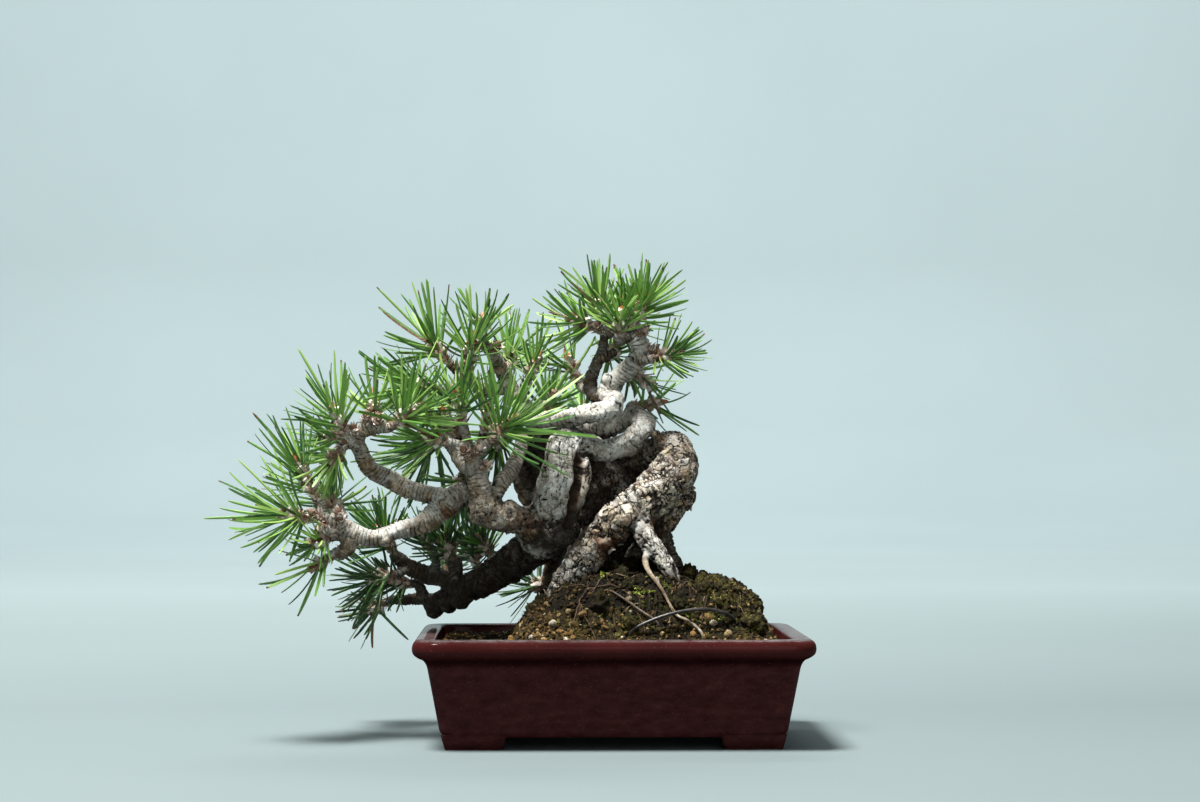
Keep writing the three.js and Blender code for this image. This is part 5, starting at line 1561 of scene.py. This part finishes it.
def bark_depths(points, normals, marks):
    """How far each point of the wood stands out, and the values that colour it."""
    tree = kdtree.KDTree(len(marks))
    for i, mark in enumerate(marks):
        tree.insert(mark[0], i)
    tree.balance()
    found = [marks[tree.find(p)[1]] for p in points]
    centre = np.array([m[1]["centre"] for m in found])
    axes = [np.array([m[1][k] for m in found]) for k in ("side", "other", "ahead")]
    local = points - centre
    spot = np.stack([np.sum(local * axis, axis=1) for axis in axes], axis=1)
    spot[:, 2] += np.array([m[1]["along"] for m in found])
    spot += np.array([m[2] for m in found])[:, None] * (13.7, 7.3, 41.9)
    radius = np.array([m[1]["radius"] for m in found])
    plates, worn, cross, rings, silver, dark = np.array([m[3] for m in found]).T
    warp = np.stack([layered(spot / 2.4, 2, k) for k in (1, 2, 3)], axis=1)
    thick = ease(1.5, 5, radius)
    rough = 0.8 * worn * ease(82, 68, points[:, 2]) * ease(13, 9, np.abs(points[:, 0] + 19))
    plates, worn = plates + rough, worn - rough
    smooth = ease(79, 84, points[:, 2]) * ease(-37, -39, points[:, 0])
    rings, plates, worn = rings + smooth * (plates + worn), plates * (1 - smooth), worn * (1 - smooth)
    smooth = cross * ease(111, 116, points[:, 2])
    rings, cross = rings + smooth, cross - smooth

    _, margin, mark, slant = cells(spot / (4.6, 4.6, 3.1) + 0.55 * warp, 51)
    kept = ease(-0.5, 0.1, noise(spot / 3.1, 57))
    seam = (1 - ease(0.0, 0.12, margin)) * (0.2 + 0.8 * kept)
    _, margin2, mark2, slant2 = cells(spot / (2.3, 2.3, 1.5) + 0.5 * warp, 77)
    seam2 = (1 - ease(0.0, 0.15, margin2)) * ease(-0.1, 0.3, noise(spot / 2.6, 58))
    flake = 0.4 * (mark - 0.5) + 0.42 * slant + 0.1 * (mark2 - 0.5) + 0.12 * slant2
    plate_depth = thick * (flake - 1.1 * seam - 0.45 * seam2 + 0.1 * noise(spot / 0.9, 9))
    plate_crack = np.clip(1.2 * seam + 0.9 * seam2, 0, 1)

    grain = noise(spot / (1.1, 1.1, 6) + 0.3 * warp, 13)
    long_lines = threads(spot / (1.5, 1.5, 4.2) + 0.7 * warp, 15, 0.17)
    long_lines *= ease(-0.45, 0.0, noise(spot / 3, 16))
    short_lines = threads(spot / (2, 2, 1.2) + 0.6 * warp, 17, 0.15)
    short_lines *= ease(-0.15, 0.2, noise(spot / 2.5, 18))
    worn_seam = (1 - ease(0.0, 0.12, margin)) * ease(0.0, 0.45, noise(spot / 3.6, 59))
    lines = np.maximum(long_lines, short_lines)
    worn_depth = 0.35 * layered(spot / 2.6, 3, 19) + 0.25 * grain - 0.4 * lines
    worn_depth = worn_depth - 0.7 * worn_seam + 0.3 * slant
    worn_crack = np.clip(0.95 * lines + 1.1 * worn_seam, 0, 1)

    wander = spot[:, 2] / 1.9 + 0.8 * noise(spot / (3.4, 3.4, 2.4), 23)
    wave = np.abs((wander % 1) - 0.5) * 2
    broken = ease(-0.45, 0.05, noise(spot / 2.2, 29))
    split = (1 - ease(0.0, 0.24, wave)) * broken
    thin = threads(spot / (1.9, 1.9, 1.5) + 0.5 * warp, 27) * ease(-0.3, 0.2, noise(spot / 2.7, 28))
    cross_depth = 0.3 * layered(spot / 1.9, 3, 31) - 0.65 * split + 0.3 * slant2 - 0.25 * thin
    cross_crack = np.clip(1.0 * split + 0.5 * thin, 0, 1)

    phase = spot[:, 2] / 1.25 + 1.1 * noise(spot / 6, 37) + 0.4 * noise(spot / 1.9, 43)
    ripple = np.abs((phase % 1) - 0.5) * 2
    groove = (1 - ease(0.0, 0.5, ripple)) * ease(-0.75, -0.1, noise(spot / 2.2, 45))
    scars = cells(spot / 1.9, 61)[0]
    thin = threads(spot / 1.8 + 0.4 * warp, 47) * ease(0.0, 0.4, noise(spot / 2.7, 48))
    ring_depth = 0.25 - 0.5 * groove + 0.4 * (0.45 - scars) + 0.3 * layered(spot / 2.2, 2, 67) - 0.15 * thin
    ring_crack = np.clip(0.8 * groove + 0.5 * thin, 0, 1)

    shares = (plates, worn, cross, rings)
    depth = sum(s * d for s, d in zip(shares, (plate_depth, worn_depth, cross_depth, ring_depth)))
    crack = sum(s * c for s, c in zip(shares, (plate_crack, worn_crack, cross_crack, ring_crack)))
    depth *= np.clip(radius / 2.0, 0.35, 1)
    depth += thick * 0.9 * layered(points / 6, 2, 83)
    up = ease(-0.3, 0.7, normals[:, 2])
    # Painted light: faces that look up are paler and more silver; the rest of this silver differs at random
    silver = silver + 0.45 * (mark2 - 0.5) + 0.35 * (up - 0.5) + 0.35 * noise(spot / 4, 71)
    silver += 0.5 * slant * plates
    grime = 0.3 * plates * ease(0.05, 0.45, noise(spot / (3.6, 3.6, 2.4), 107))
    # Painted shade: the back of the trunk where it shows through the loop, and the low limbs at the back
    # under the crown, are darkened
    rear_shade = ease(2, 9, points[:, 1]) * ease(-14, -8, points[:, 0]) * ease(95, 88, points[:, 2]) * plates
    rear_shade *= ease(0.5, 0.0, normals[:, 1])
    rear_shade += 0.75 * ease(17, 28, points[:, 1]) * ease(72, 62, points[:, 2]) * ease(-30, -40, points[:, 0])
    # Painted shade: undersides of the limbs are darker
    under = ease(0.2, 0.9, -normals[:, 2])
    rust = plates * ease(0.3, 0.7, mark2) * 0.7
    values = {
        "plate": mark, "silver": silver, "crack": crack, "rust": rust,
        "dark": dark + 0.42 * under + 0.9 * rear_shade + grime, "green": 0.12 * up * plates, "cream": 0 * mark,
    }
    for middle, size, name, share in SPOTS:
        near = np.linalg.norm(points - middle, axis=1) / size + 0.35 * noise(points / 1.8, 97)
        values[name] = values[name] + share * (1 - ease(0.5, 1.1, near))
    values["silver"] = values["silver"] - (values["rust"] - rust)
    for middle, size in SCARS:
        far = np.linalg.norm(points - middle, axis=1) + 0.25 * noise(points / 1.5, 99)
        inside = 1 - ease(size * 0.85, size * 1.15, far)
        rim = np.exp(-((far - size * 1.1) / 0.45) ** 2)
        circle = np.abs((far / 0.95) % 1 - 0.5) * 2
        depth = depth * (1 - inside) + 0.7 * rim - inside * (0.5 + 0.4 * (1 - ease(0.0, 0.5, circle)))
        values["crack"] = values["crack"] * (1 - inside) + inside * (1 - ease(0.0, 0.4, circle)) * 0.8
        values["cream"] = values["cream"] + 0.5 * inside
    flat = np.array((1, 0.3, 1))
    near = near_line(points * flat, GROOVE * flat) + 0.4 * noise(points / 1.6, 98)
    near += 9 * ease(-5, -1, points[:, 1])
    cut = 1 - ease(0.5, 2.1, near)
    depth -= 1.9 * cut
    values["silver"] = values["silver"] * (1 - cut)
    values["rust"] = values["rust"] + cut
    # Painted shade along the bottom of the groove
    values["dark"] = values["dark"] + 1 - ease(0.4, 1.2, near)
    values.update({"plates": plates, "worn": worn, "cross": cross})
    return depth, values, spot


def make_wood():
    shape, marks = wood_points()
    mesh = raw_mesh("wood", shape.all_points(), shape.faces)
    mesh = changed(mesh, "REMESH", mode="VOXEL", voxel_size=WOOD_VOXEL, adaptivity=0.0)
    mesh = changed(mesh, "SMOOTH", factor=0.5, iterations=4)
    points, normals, faces = read_mesh(mesh)
    hidden = occlusion(points, normals, faces)
    depth, values, spot = bark_depths(points, normals, marks)
    # Painted shade: the wood is darkened where it is hidden from the open, in hollows and between limbs
    values["dark"] = values["dark"] + 1.5 * ease(0.13, 0.62, hidden)
    set_points(mesh, points + normals * depth[:, None])
    set_values(mesh, {name: np.clip(value, 0, 1) for name, value in values.items()})
    layer = mesh.attributes.new("spot", "FLOAT_VECTOR", "POINT")
    layer.data.foreach_set("vector", (spot * MM).astype(np.float32).ravel())
    mesh.update()
    triangles = sum(len(face) - 2 for face in faces)
    if triangles > WOOD_TRIANGLES:
        mesh = changed(mesh, "DECIMATE", ratio=WOOD_TRIANGLES / triangles)
    finished("pine_wood", mesh, [bark_look()], ["tree"])
    make_flakes(marks)


def make_flakes(marks):
    """Loose flakes of bark, lifted at one edge."""
    draw = seeded("flakes")
    shape = Shape()
    rough = [mark for mark in marks if mark[3][0] == 1 and mark[1]["radius"] > 4]
    for _ in range(FLAKES):
        point, row, _, bark = rough[draw.integers(len(rough))]
        out = unit(point - row["centre"])
        along = unit(row["ahead"] + 0.5 * draw.normal(size=3))
        along = unit(along - out * along.dot(out))
        across = np.cross(out, along)
        long, wide = draw.uniform(0.7, 1.7), draw.uniform(0.5, 1.2)
        lift = draw.uniform(0.1, 0.7)
        ragged = draw.uniform(0.65, 1.25, (4, 4))
        corners = []
        for side in (0.16, -0.16):
            for i in range(4):
                for j in range(4):
                    u, v = i / 1.5 - 1, j / 1.5 - 1
                    u, v = u * (1 - 0.25 * v * v), v * (1 - 0.25 * u * u)
                    height = 0.25 + lift * (u + 1) ** 2 / 2 - 0.35 * wide * v * v + side
                    spread = ragged[i, j]
                    place = point + along * u * long * spread + across * v * wide * spread
                    corners.append(place + out * height)
        faces = []
        for a in (0, 1, 2, 4, 5, 6, 8, 9, 10):
            faces += [(a, a + 4, a + 5, a + 1), (a + 16, a + 17, a + 21, a + 20)]
        edge = [0, 1, 2, 3, 7, 11, 15, 14, 13, 12, 8, 4]
        faces += [(a, b, b + 16, a + 16) for a, b in zip(edge, edge[1:] + edge[:1])]
        silver = np.clip(bark[4] + draw.normal(0.0, 0.2), 0, 0.6)
        plate, rust = draw.uniform(), draw.uniform() < 0.3
        # Painted shade: flakes at the back of the tree are darker
        dark = np.clip(bark[5] + 0.7 * (point[1] > 3) + draw.normal(0.1, 0.15), 0, 1)
        shape.add(corners, faces, plate=plate, silver=silver, crack=0, rust=rust, dark=dark, green=0, cream=0)
    build("bark_flakes", shape, [named("bark")], smooth=False)


# Needles


def least_distances(p, q, r, s):
    """The least distances between the stretch p to q and rows of stretches r to s."""
    u = q - p
    v = s - r
    w = p - r
    uu = u @ u
    vv = np.sum(v * v, axis=1)
    uv = v @ u
    uw = w @ u
    vw = np.sum(v * w, axis=1)
    flat = uu * vv - uv * uv
    t = np.where(flat > 1e-9, np.clip((uv * vw - vv * uw) / np.maximum(flat, 1e-9), 0, 1), 0)
    h = (uv * t + vw) / vv
    off = (h < 0) | (h > 1)
    h = np.clip(h, 0, 1)
    t = np.where(off, np.clip((uv * h - uw) / uu, 0, 1), t)
    return np.linalg.norm(w + t[:, None] * u - h[:, None] * v, axis=1)


class Crown:
    """All needles placed so far, and what they have to clear."""

    def __init__(self):
        self.shoots = {}
        self.grow(SHOOTS)
        wood = [(*s, -1) for points in LIMBS.values() for s in stretches_of(points)]
        for number, shoot in enumerate(SHOOTS.values()):
            parts = stretches_of(twig_points(shoot))
            wood += [(*s, number if k >= len(parts) - 2 else -1) for k, s in enumerate(parts)]
        self.wood = [np.array([s[k] for s in wood]) for k in range(4)]
        self.needles = []
        self.table = {key: np.zeros((MOST_NEEDLES, 3)) for key in ("out", "free", "tip")}
        self.table.update({key: np.zeros(MOST_NEEDLES, int) for key in ("shoot", "pair")})

    def grow(self, shoots):
        """More shoots, and their cores for the needles to clear."""
        for name, (_, base, direction, length, *_) in shoots.items():
            ahead = unit(direction)
            a = np.array(base, float) + ahead * GAP
            self.shoots[name] = {"a": a, "b": a + ahead * length, "ahead": ahead}
        self.names = list(self.shoots)
        self.cores = [np.array([s[k] for s in self.shoots.values()]) for k in ("a", "b")]

    def clear(self, needle, between, own):
        """Whether a needle has room; if so, it is kept."""
        root, tip, name, pair = needle["root"], needle["tip"], needle["shoot"], needle["pair"]
        number = self.names.index(name)
        ahead = unit(tip - root)
        out = root + ahead * SHOOT_RADIUS
        free = root + ahead * FUSED_ROOT
        line = out + np.linspace(0, 1, 9)[:, None] * (tip - out)
        over = np.abs(line[:, 0]) < RIM_LENGTH / 2 + CLEAR_POT
        over &= np.abs(line[:, 1]) < RIM_DEPTH / 2 + CLEAR_POT
        floor = np.maximum(POT_HEIGHT, soil_height(line[:, 0], line[:, 1])) + CLEAR_POT
        if (line[:, 2] < CLEAR_TABLE).any() or (over & (line[:, 2] < floor)).any():
            return False
        start, end, radius, owner = self.wood
        apart = least_distances(out, tip, start, end) - radius - CLEAR_BARK
        if (apart[owner != number] < 0).any():
            return False
        apart = least_distances(out, tip, *self.cores) - SHOOT_RADIUS - CLEAR_BARK
        if (np.delete(apart, number) < 0).any():
            return False
        placed = len(self.needles)
        if placed:
            kept = {key: rows[:placed] for key, rows in self.table.items()}
            same = kept["shoot"] == number
            twin = same & (kept["pair"] == pair)
            others = least_distances(out, tip, kept["out"], kept["tip"])
            owns = least_distances(free, tip, kept["free"], kept["tip"])
            if ((others < between) & ~same).any() or ((owns < own) & same & ~twin).any():
                return False
        for key, value in (("out", out), ("free", free), ("tip", tip), ("shoot", number), ("pair", pair)):
            self.table[key][placed] = value
        self.needles.append(needle)
        return True

    def pair(self, name, pair, u, turn, lean, length, cut, roll, between, own, rise=0):
        """Two needles from one sheath, shortened or left out where there is no room."""
        shoot = self.shoots[name]
        axis = mix(shoot["a"], shoot["b"], 0.16 + 0.68 * u)
        side, other = square_to(shoot["ahead"])
        outward = side * math.cos(turn) + other * math.sin(turn)
        way = unit(shoot["ahead"] * math.cos(lean) + outward * math.sin(lean) + (0, 0, rise))
        apart, across = square_to(way)
        opened = apart * math.cos(roll) + across * math.sin(roll)
        for sign in (-1, 1):
            line = unit(way + opened * sign * PAIR_SPREAD)
            root = axis + opened * sign * PAIR_OFFSET
            for share in LENGTH_TRIES:
                reach = length * share * (1 if sign > 0 else 0.9 + 0.1 * cut)
                needle = {"shoot": name, "pair": pair, "root": root, "tip": root + line * reach,
                          "flat": -opened * sign, "way": way, "axis": axis}
                if self.clear(needle, between, own):
                    break

    def lone(self, name, tip, between, own, dead=False):
        """One needle with a known tip."""
        root = mix(self.shoots[name]["a"], self.shoots[name]["b"], LONG_ROOT)
        tip = np.array(tip, float)
        way = unit(tip - root)
        needle = {"shoot": name, "pair": -1 - len(self.needles), "root": root, "tip": tip,
                  "flat": square_to(way)[0], "way": way, "axis": root, "dead": dead}
        self.clear(needle, between, own)

    def place(self):
        """The source's needles in its order, and then those that only the looks have."""
        for name, tip in LONG_NEEDLES:
            self.lone(name, tip, CLEAR_NEEDLES, CLEAR_OWN)
        for index, name in enumerate(self.names):
            pairs, (shortest, longest) = SHOOTS[name][4:]
            draw = make_draw(SOURCE_SEED + SOURCE_SEED_STEP * index)
            for pair in range(pairs):
                u = (pair + 0.5) / pairs
                turn = GOLDEN_TURN * pair + 0.5 * draw()
                lean = mix(*NEEDLE_LEAN, u) * (0.85 + 0.3 * draw())
                length = mix(shortest, longest, draw())
                cut = draw()
                roll = TURN * draw()
                self.pair(name, pair, u, turn, lean, length, cut, roll, CLEAR_NEEDLES, CLEAR_OWN)
        self.grow(FILL_SHOOTS)
        for name, tip, dead in SINGLE_NEEDLES:
            self.lone(name, tip, EXTRA_NEEDLES, EXTRA_OWN, dead)
        for index, name in enumerate(self.names):
            pairs, (shortest, longest) = {**SHOOTS, **FILL_SHOOTS}[name][4:]
            draw = make_draw(EXTRA_SEED + EXTRA_SEED_STEP * index)
            count = round(pairs * EXTRA_SPARSE.get(name, EXTRA_PAIRS))
            for extra in range(count):
                u = min((extra + draw()) / count, 0.99)
                turn = GOLDEN_TURN * extra + 1.3 + 0.8 * draw()
                lean = mix(*NEEDLE_LEAN, u) * (0.7 + 0.45 * draw())
                length = mix(shortest, longest, draw()) * (0.7 + 0.3 * draw())
                self.pair(name, FIRST_EXTRA + extra, u, turn, lean, length, draw(), TURN * draw(),
                          EXTRA_NEEDLES, EXTRA_OWN, EXTRA_RISE * draw())
        return self


def add_needle(shape, needle, draw):
    """A half-round needle with a slight bow."""
    root, tip = needle["root"], needle["tip"]
    length = np.linalg.norm(tip - root)
    ahead = unit(tip - root)
    flat = unit(needle["flat"] - ahead * needle["flat"].dot(ahead))
    across = np.cross(ahead, flat)
    bow = length * draw.normal(0, 0.022) * flat + length * draw.normal(0, 0.024) * across
    bow -= (0, 0, 0.02 * length)
    wide = NEEDLE_WIDTH * draw.uniform(0.88, 1.1)
    blunt = draw.uniform() < 0.16
    points = []
    along = []
    for share, width in NEEDLE_STEPS:
        at = share * (0.985 if blunt else 1)
        width = max(width, 0.62) if blunt else width
        centre = root + ahead * length * at + bow * 4 * at * (1 - at)
        for x, y in NEEDLE_SECTION:
            points.append(centre + wide * width * (x * across - y * flat))
            along.append(share)
    # Painted shade and light in the tint: needles low down at the back and at the rear are darker, and those
    # high up a little paler. Needles at the front, from the middle of the crown rightwards, are a little
    # darker, and the rest differs at random
    low = ease(78, 58, tip[2]) * ease(-5, 25, root[1])
    high = ease(95, 150, tip[2])
    rear_shade = ease(-6, 18, root[1]) * ease(126, 108, tip[2])
    front = ease(-8, -14, root[1]) * ease(-60, -50, root[0])
    tint = np.clip(draw.normal(0.62 - 0.40 * low + 0.05 * high - 0.22 * rear_shade - 0.10 * front, 0.25), 0.03, 1)
    burn = draw.uniform(0.0, 0.08) if blunt or draw.uniform() < 0.10 else -0.05
    burn = 1 if needle.get("dead") or draw.uniform() < 0.012 else burn
    faces = ring_faces(len(NEEDLE_STEPS), len(NEEDLE_SECTION))
    shape.add(points, faces, 0, along=along, tint=tint, burn=burn)


def add_sheath(shape, needle, draw):
    """The papery sleeve round the foot of a pair."""
    way = unit(needle["way"])
    foot = needle["axis"] + way * 0.9
    length = draw.uniform(1.6, 2.8)
    side, other = square_to(way)
    sides = 7
    turns = turns_of(sides) + draw.uniform(0, 1)
    rings = []
    for share, radius in ((0, 0.75), (0.3, 1.02), (0.75, 0.92), (1, 0.98)):
        ragged = draw.uniform(-0.28, 0.28, sides) * share
        rings.append(foot + np.outer(length * share + ragged, way) + radius * spokes(turns, side, other))
    tint = np.clip(draw.normal(0.62, 0.22), 0, 1)
    shape.add(np.concatenate(rings), ring_faces(len(rings), sides), 1, along=0, tint=tint, burn=0)


def add_scales(shape, shoot, draw, bud_long, bare=False):
    """Bud scales along the shoot, and the bud that ends it; paler where no needles are left."""
    a, b, ahead = shoot["a"], shoot["b"], shoot["ahead"]
    side, other = square_to(ahead)
    length = np.linalg.norm(b - a)
    core = [a - ahead * 1.2, a, mix(a, b, 0.3), mix(a, b, 0.6), mix(a, b, 0.85), b]
    points, faces = tube(core, [1.35, 1.45, 1.3, 1.15, 0.95, 0.5], 10)
    points = points + 0.16 * noise(points / 0.9, 3)[:, None] * ahead
    shape.add(points, faces, 1, along=0, tint=0.35, burn=0)
    count = int(26 + 3 * length)
    for k in range(count):
        u = (k + 0.5) / count
        turn = GOLDEN_TURN * k + draw.normal(0, 0.2)
        outward = side * math.cos(turn) + other * math.sin(turn)
        across = np.cross(ahead, outward)
        foot = mix(a - ahead * 1.5, b, u) + outward * mix(1.4, 0.8, u)
        lean = draw.uniform(0.3, 1.05)
        way = ahead * math.cos(lean) + outward * math.sin(lean)
        reach = draw.uniform(1.2, 2.6)
        half = draw.uniform(0.36, 0.66)
        lift = outward * 0.16
        low = [foot - across * half, foot + lift, foot + across * half, foot - lift]
        mid = [p + way * reach * 0.5 for p in low]
        tip = foot + way * reach + outward * 0.1
        faces = ring_faces(2, 4, False) + [(3, 2, 1, 0), (4, 5, 8), (5, 6, 8), (6, 7, 8), (7, 4, 8)]
        tint = np.clip(draw.normal(0.74 if bare else 0.58, 0.26), 0, 1)
        shape.add(low + mid + [tip], faces, 1, along=0, tint=tint, burn=0)
    rings = []
    bud = 2.4 + 2.6 * bud_long
    sides = 10
    turns = turns_of(sides)
    for share, radius in ((0, 0.9), (0.2, 1.15), (0.45, 1.15), (0.7, 0.8), (0.9, 0.4), (1, 0.08)):
        ring = b - ahead * 0.8 + ahead * bud * share
        spin = turns + 1.5 * share
        rough = radius * (1 + 0.12 * np.sin(5 * turns + 9 * share))
        rings.append(ring + np.outer(rough * np.cos(spin), side) + np.outer(rough * np.sin(spin), other))
    tint = draw.uniform(0.2, 0.7)
    faces = ring_faces(len(rings), sides)
    shape.add(np.concatenate(rings), faces, 1 if bare else 2, along=0, tint=tint, burn=0)


def make_sprays():
    crown = Crown().place()
    looks = [needle_look(), sheath_look(), bud_look()]
    for index, name in enumerate(crown.names):
        draw = np.random.default_rng(SPRAY_SEED + index)
        shape = Shape()
        seen = set()
        for needle in crown.needles:
            if needle["shoot"] != name:
                continue
            add_needle(shape, needle, draw)
            if needle["pair"] not in seen:
                seen.add(needle["pair"])
                add_sheath(shape, needle, draw)
        add_scales(shape, crown.shoots[name], draw, draw.uniform())
        nodes = [f"spray_{name}"] if name in SHOOTS else []
        build(f"needles_{name}", shape, looks, nodes, sharp=NEEDLE_SHARP)


def make_bare_buds():
    """Bud scales at the knuckles of the twigs, where no needles are left."""
    draw = seeded("bare_buds")
    shape = Shape()
    for limb, place, way, length in BARE_BUDS:
        row = min(limb_rows(LIMBS[limb], RING_STEP), key=lambda row: np.linalg.norm(row["centre"] - place))
        ahead = unit(way)
        foot = row["centre"] + ahead * row["radius"] * 0.8
        add_scales(shape, {"a": foot, "b": foot + ahead * length, "ahead": ahead}, draw, 0, True)
    looks = [named(name) for name in ("needle", "scale", "bud")]
    build("bare_buds", shape, looks, sharp=NEEDLE_SHARP)


# Stage


def make_stage():
    """A pale floor that curves up into its own backdrop all round."""
    look = Look("pale_floor", Roughness=0.9, Specular_IOR_Level=0.2)
    far = look.ramp(look.noise(3, 3, 0.5), (0.3, (0.352, 0.430, 0.437)), (0.7, (0.368, 0.448, 0.455)))
    near = look.ramp(look.noise(3, 3, 0.5), (0.3, (0.178, 0.222, 0.228)), (0.7, (0.188, 0.232, 0.238)))
    material = look.done(look.blend(look.spread(look.part("Y"), 0.1, 1.0, 1, 0), far, near))
    points = [(r * math.cos(t), r * math.sin(t), z) for r, z in STAGE_PROFILE for t in turns_of(STAGE_SIDES)]
    faces = [face[::-1] for face in ring_faces(len(STAGE_PROFILE), STAGE_SIDES, False)]
    mesh = raw_mesh("floor", points, faces + [tuple(range(STAGE_SIDES))])
    mesh.polygons.foreach_set("use_smooth", [True] * len(mesh.polygons))
    mesh.materials.append(material)
    put("floor", mesh)


def aim_at(thing, ahead):
    """Turns a camera or lamp, which looks down its own z, to a direction."""
    thing.rotation_mode = "QUATERNION"
    thing.rotation_quaternion = ahead.to_track_quat("-Z", "Y")


def make_light(name, place, aim, size, power, colour):
    data = bpy.data.lights.new(name, "AREA")
    data.shape = "DISK"
    data.size = size
    data.energy = power
    data.color = colour
    lamp = put(name, data)
    lamp.location = place
    aim_at(lamp, Vector(aim) - Vector(place))


def make_camera():
    data = bpy.data.cameras.new("camera")
    data.lens = CAMERA_LENS
    data.sensor_width = CAMERA_SENSOR
    data.clip_start = 0.01
    camera = put("camera", data)
    camera.location = [v * MM for v in CAMERA_PLACE]
    aim_at(camera, Vector((math.sin(CAMERA_YAW), math.cos(CAMERA_YAW), math.tan(CAMERA_PITCH))))
    bpy.context.scene.camera = camera


def make_world():
    world = bpy.data.worlds.new("world")
    world.use_nodes = True
    sky = world.node_tree.nodes["Background"]
    sky.inputs["Color"].default_value = (0.80, 0.90, 0.95, 1)
    sky.inputs["Strength"].default_value = 0.08
    bpy.context.scene.world = world


bpy.context.scene.view_settings.view_transform = "Standard"
make_camera()
make_world()
make_stage()
for lamp in LAMPS:
    make_light(*lamp)
make_pot()
make_screens()
make_soil()
make_clods()
make_grains()
make_moss()
make_fibres()
make_wire()
make_wood()
make_sprays()
make_bare_buds()
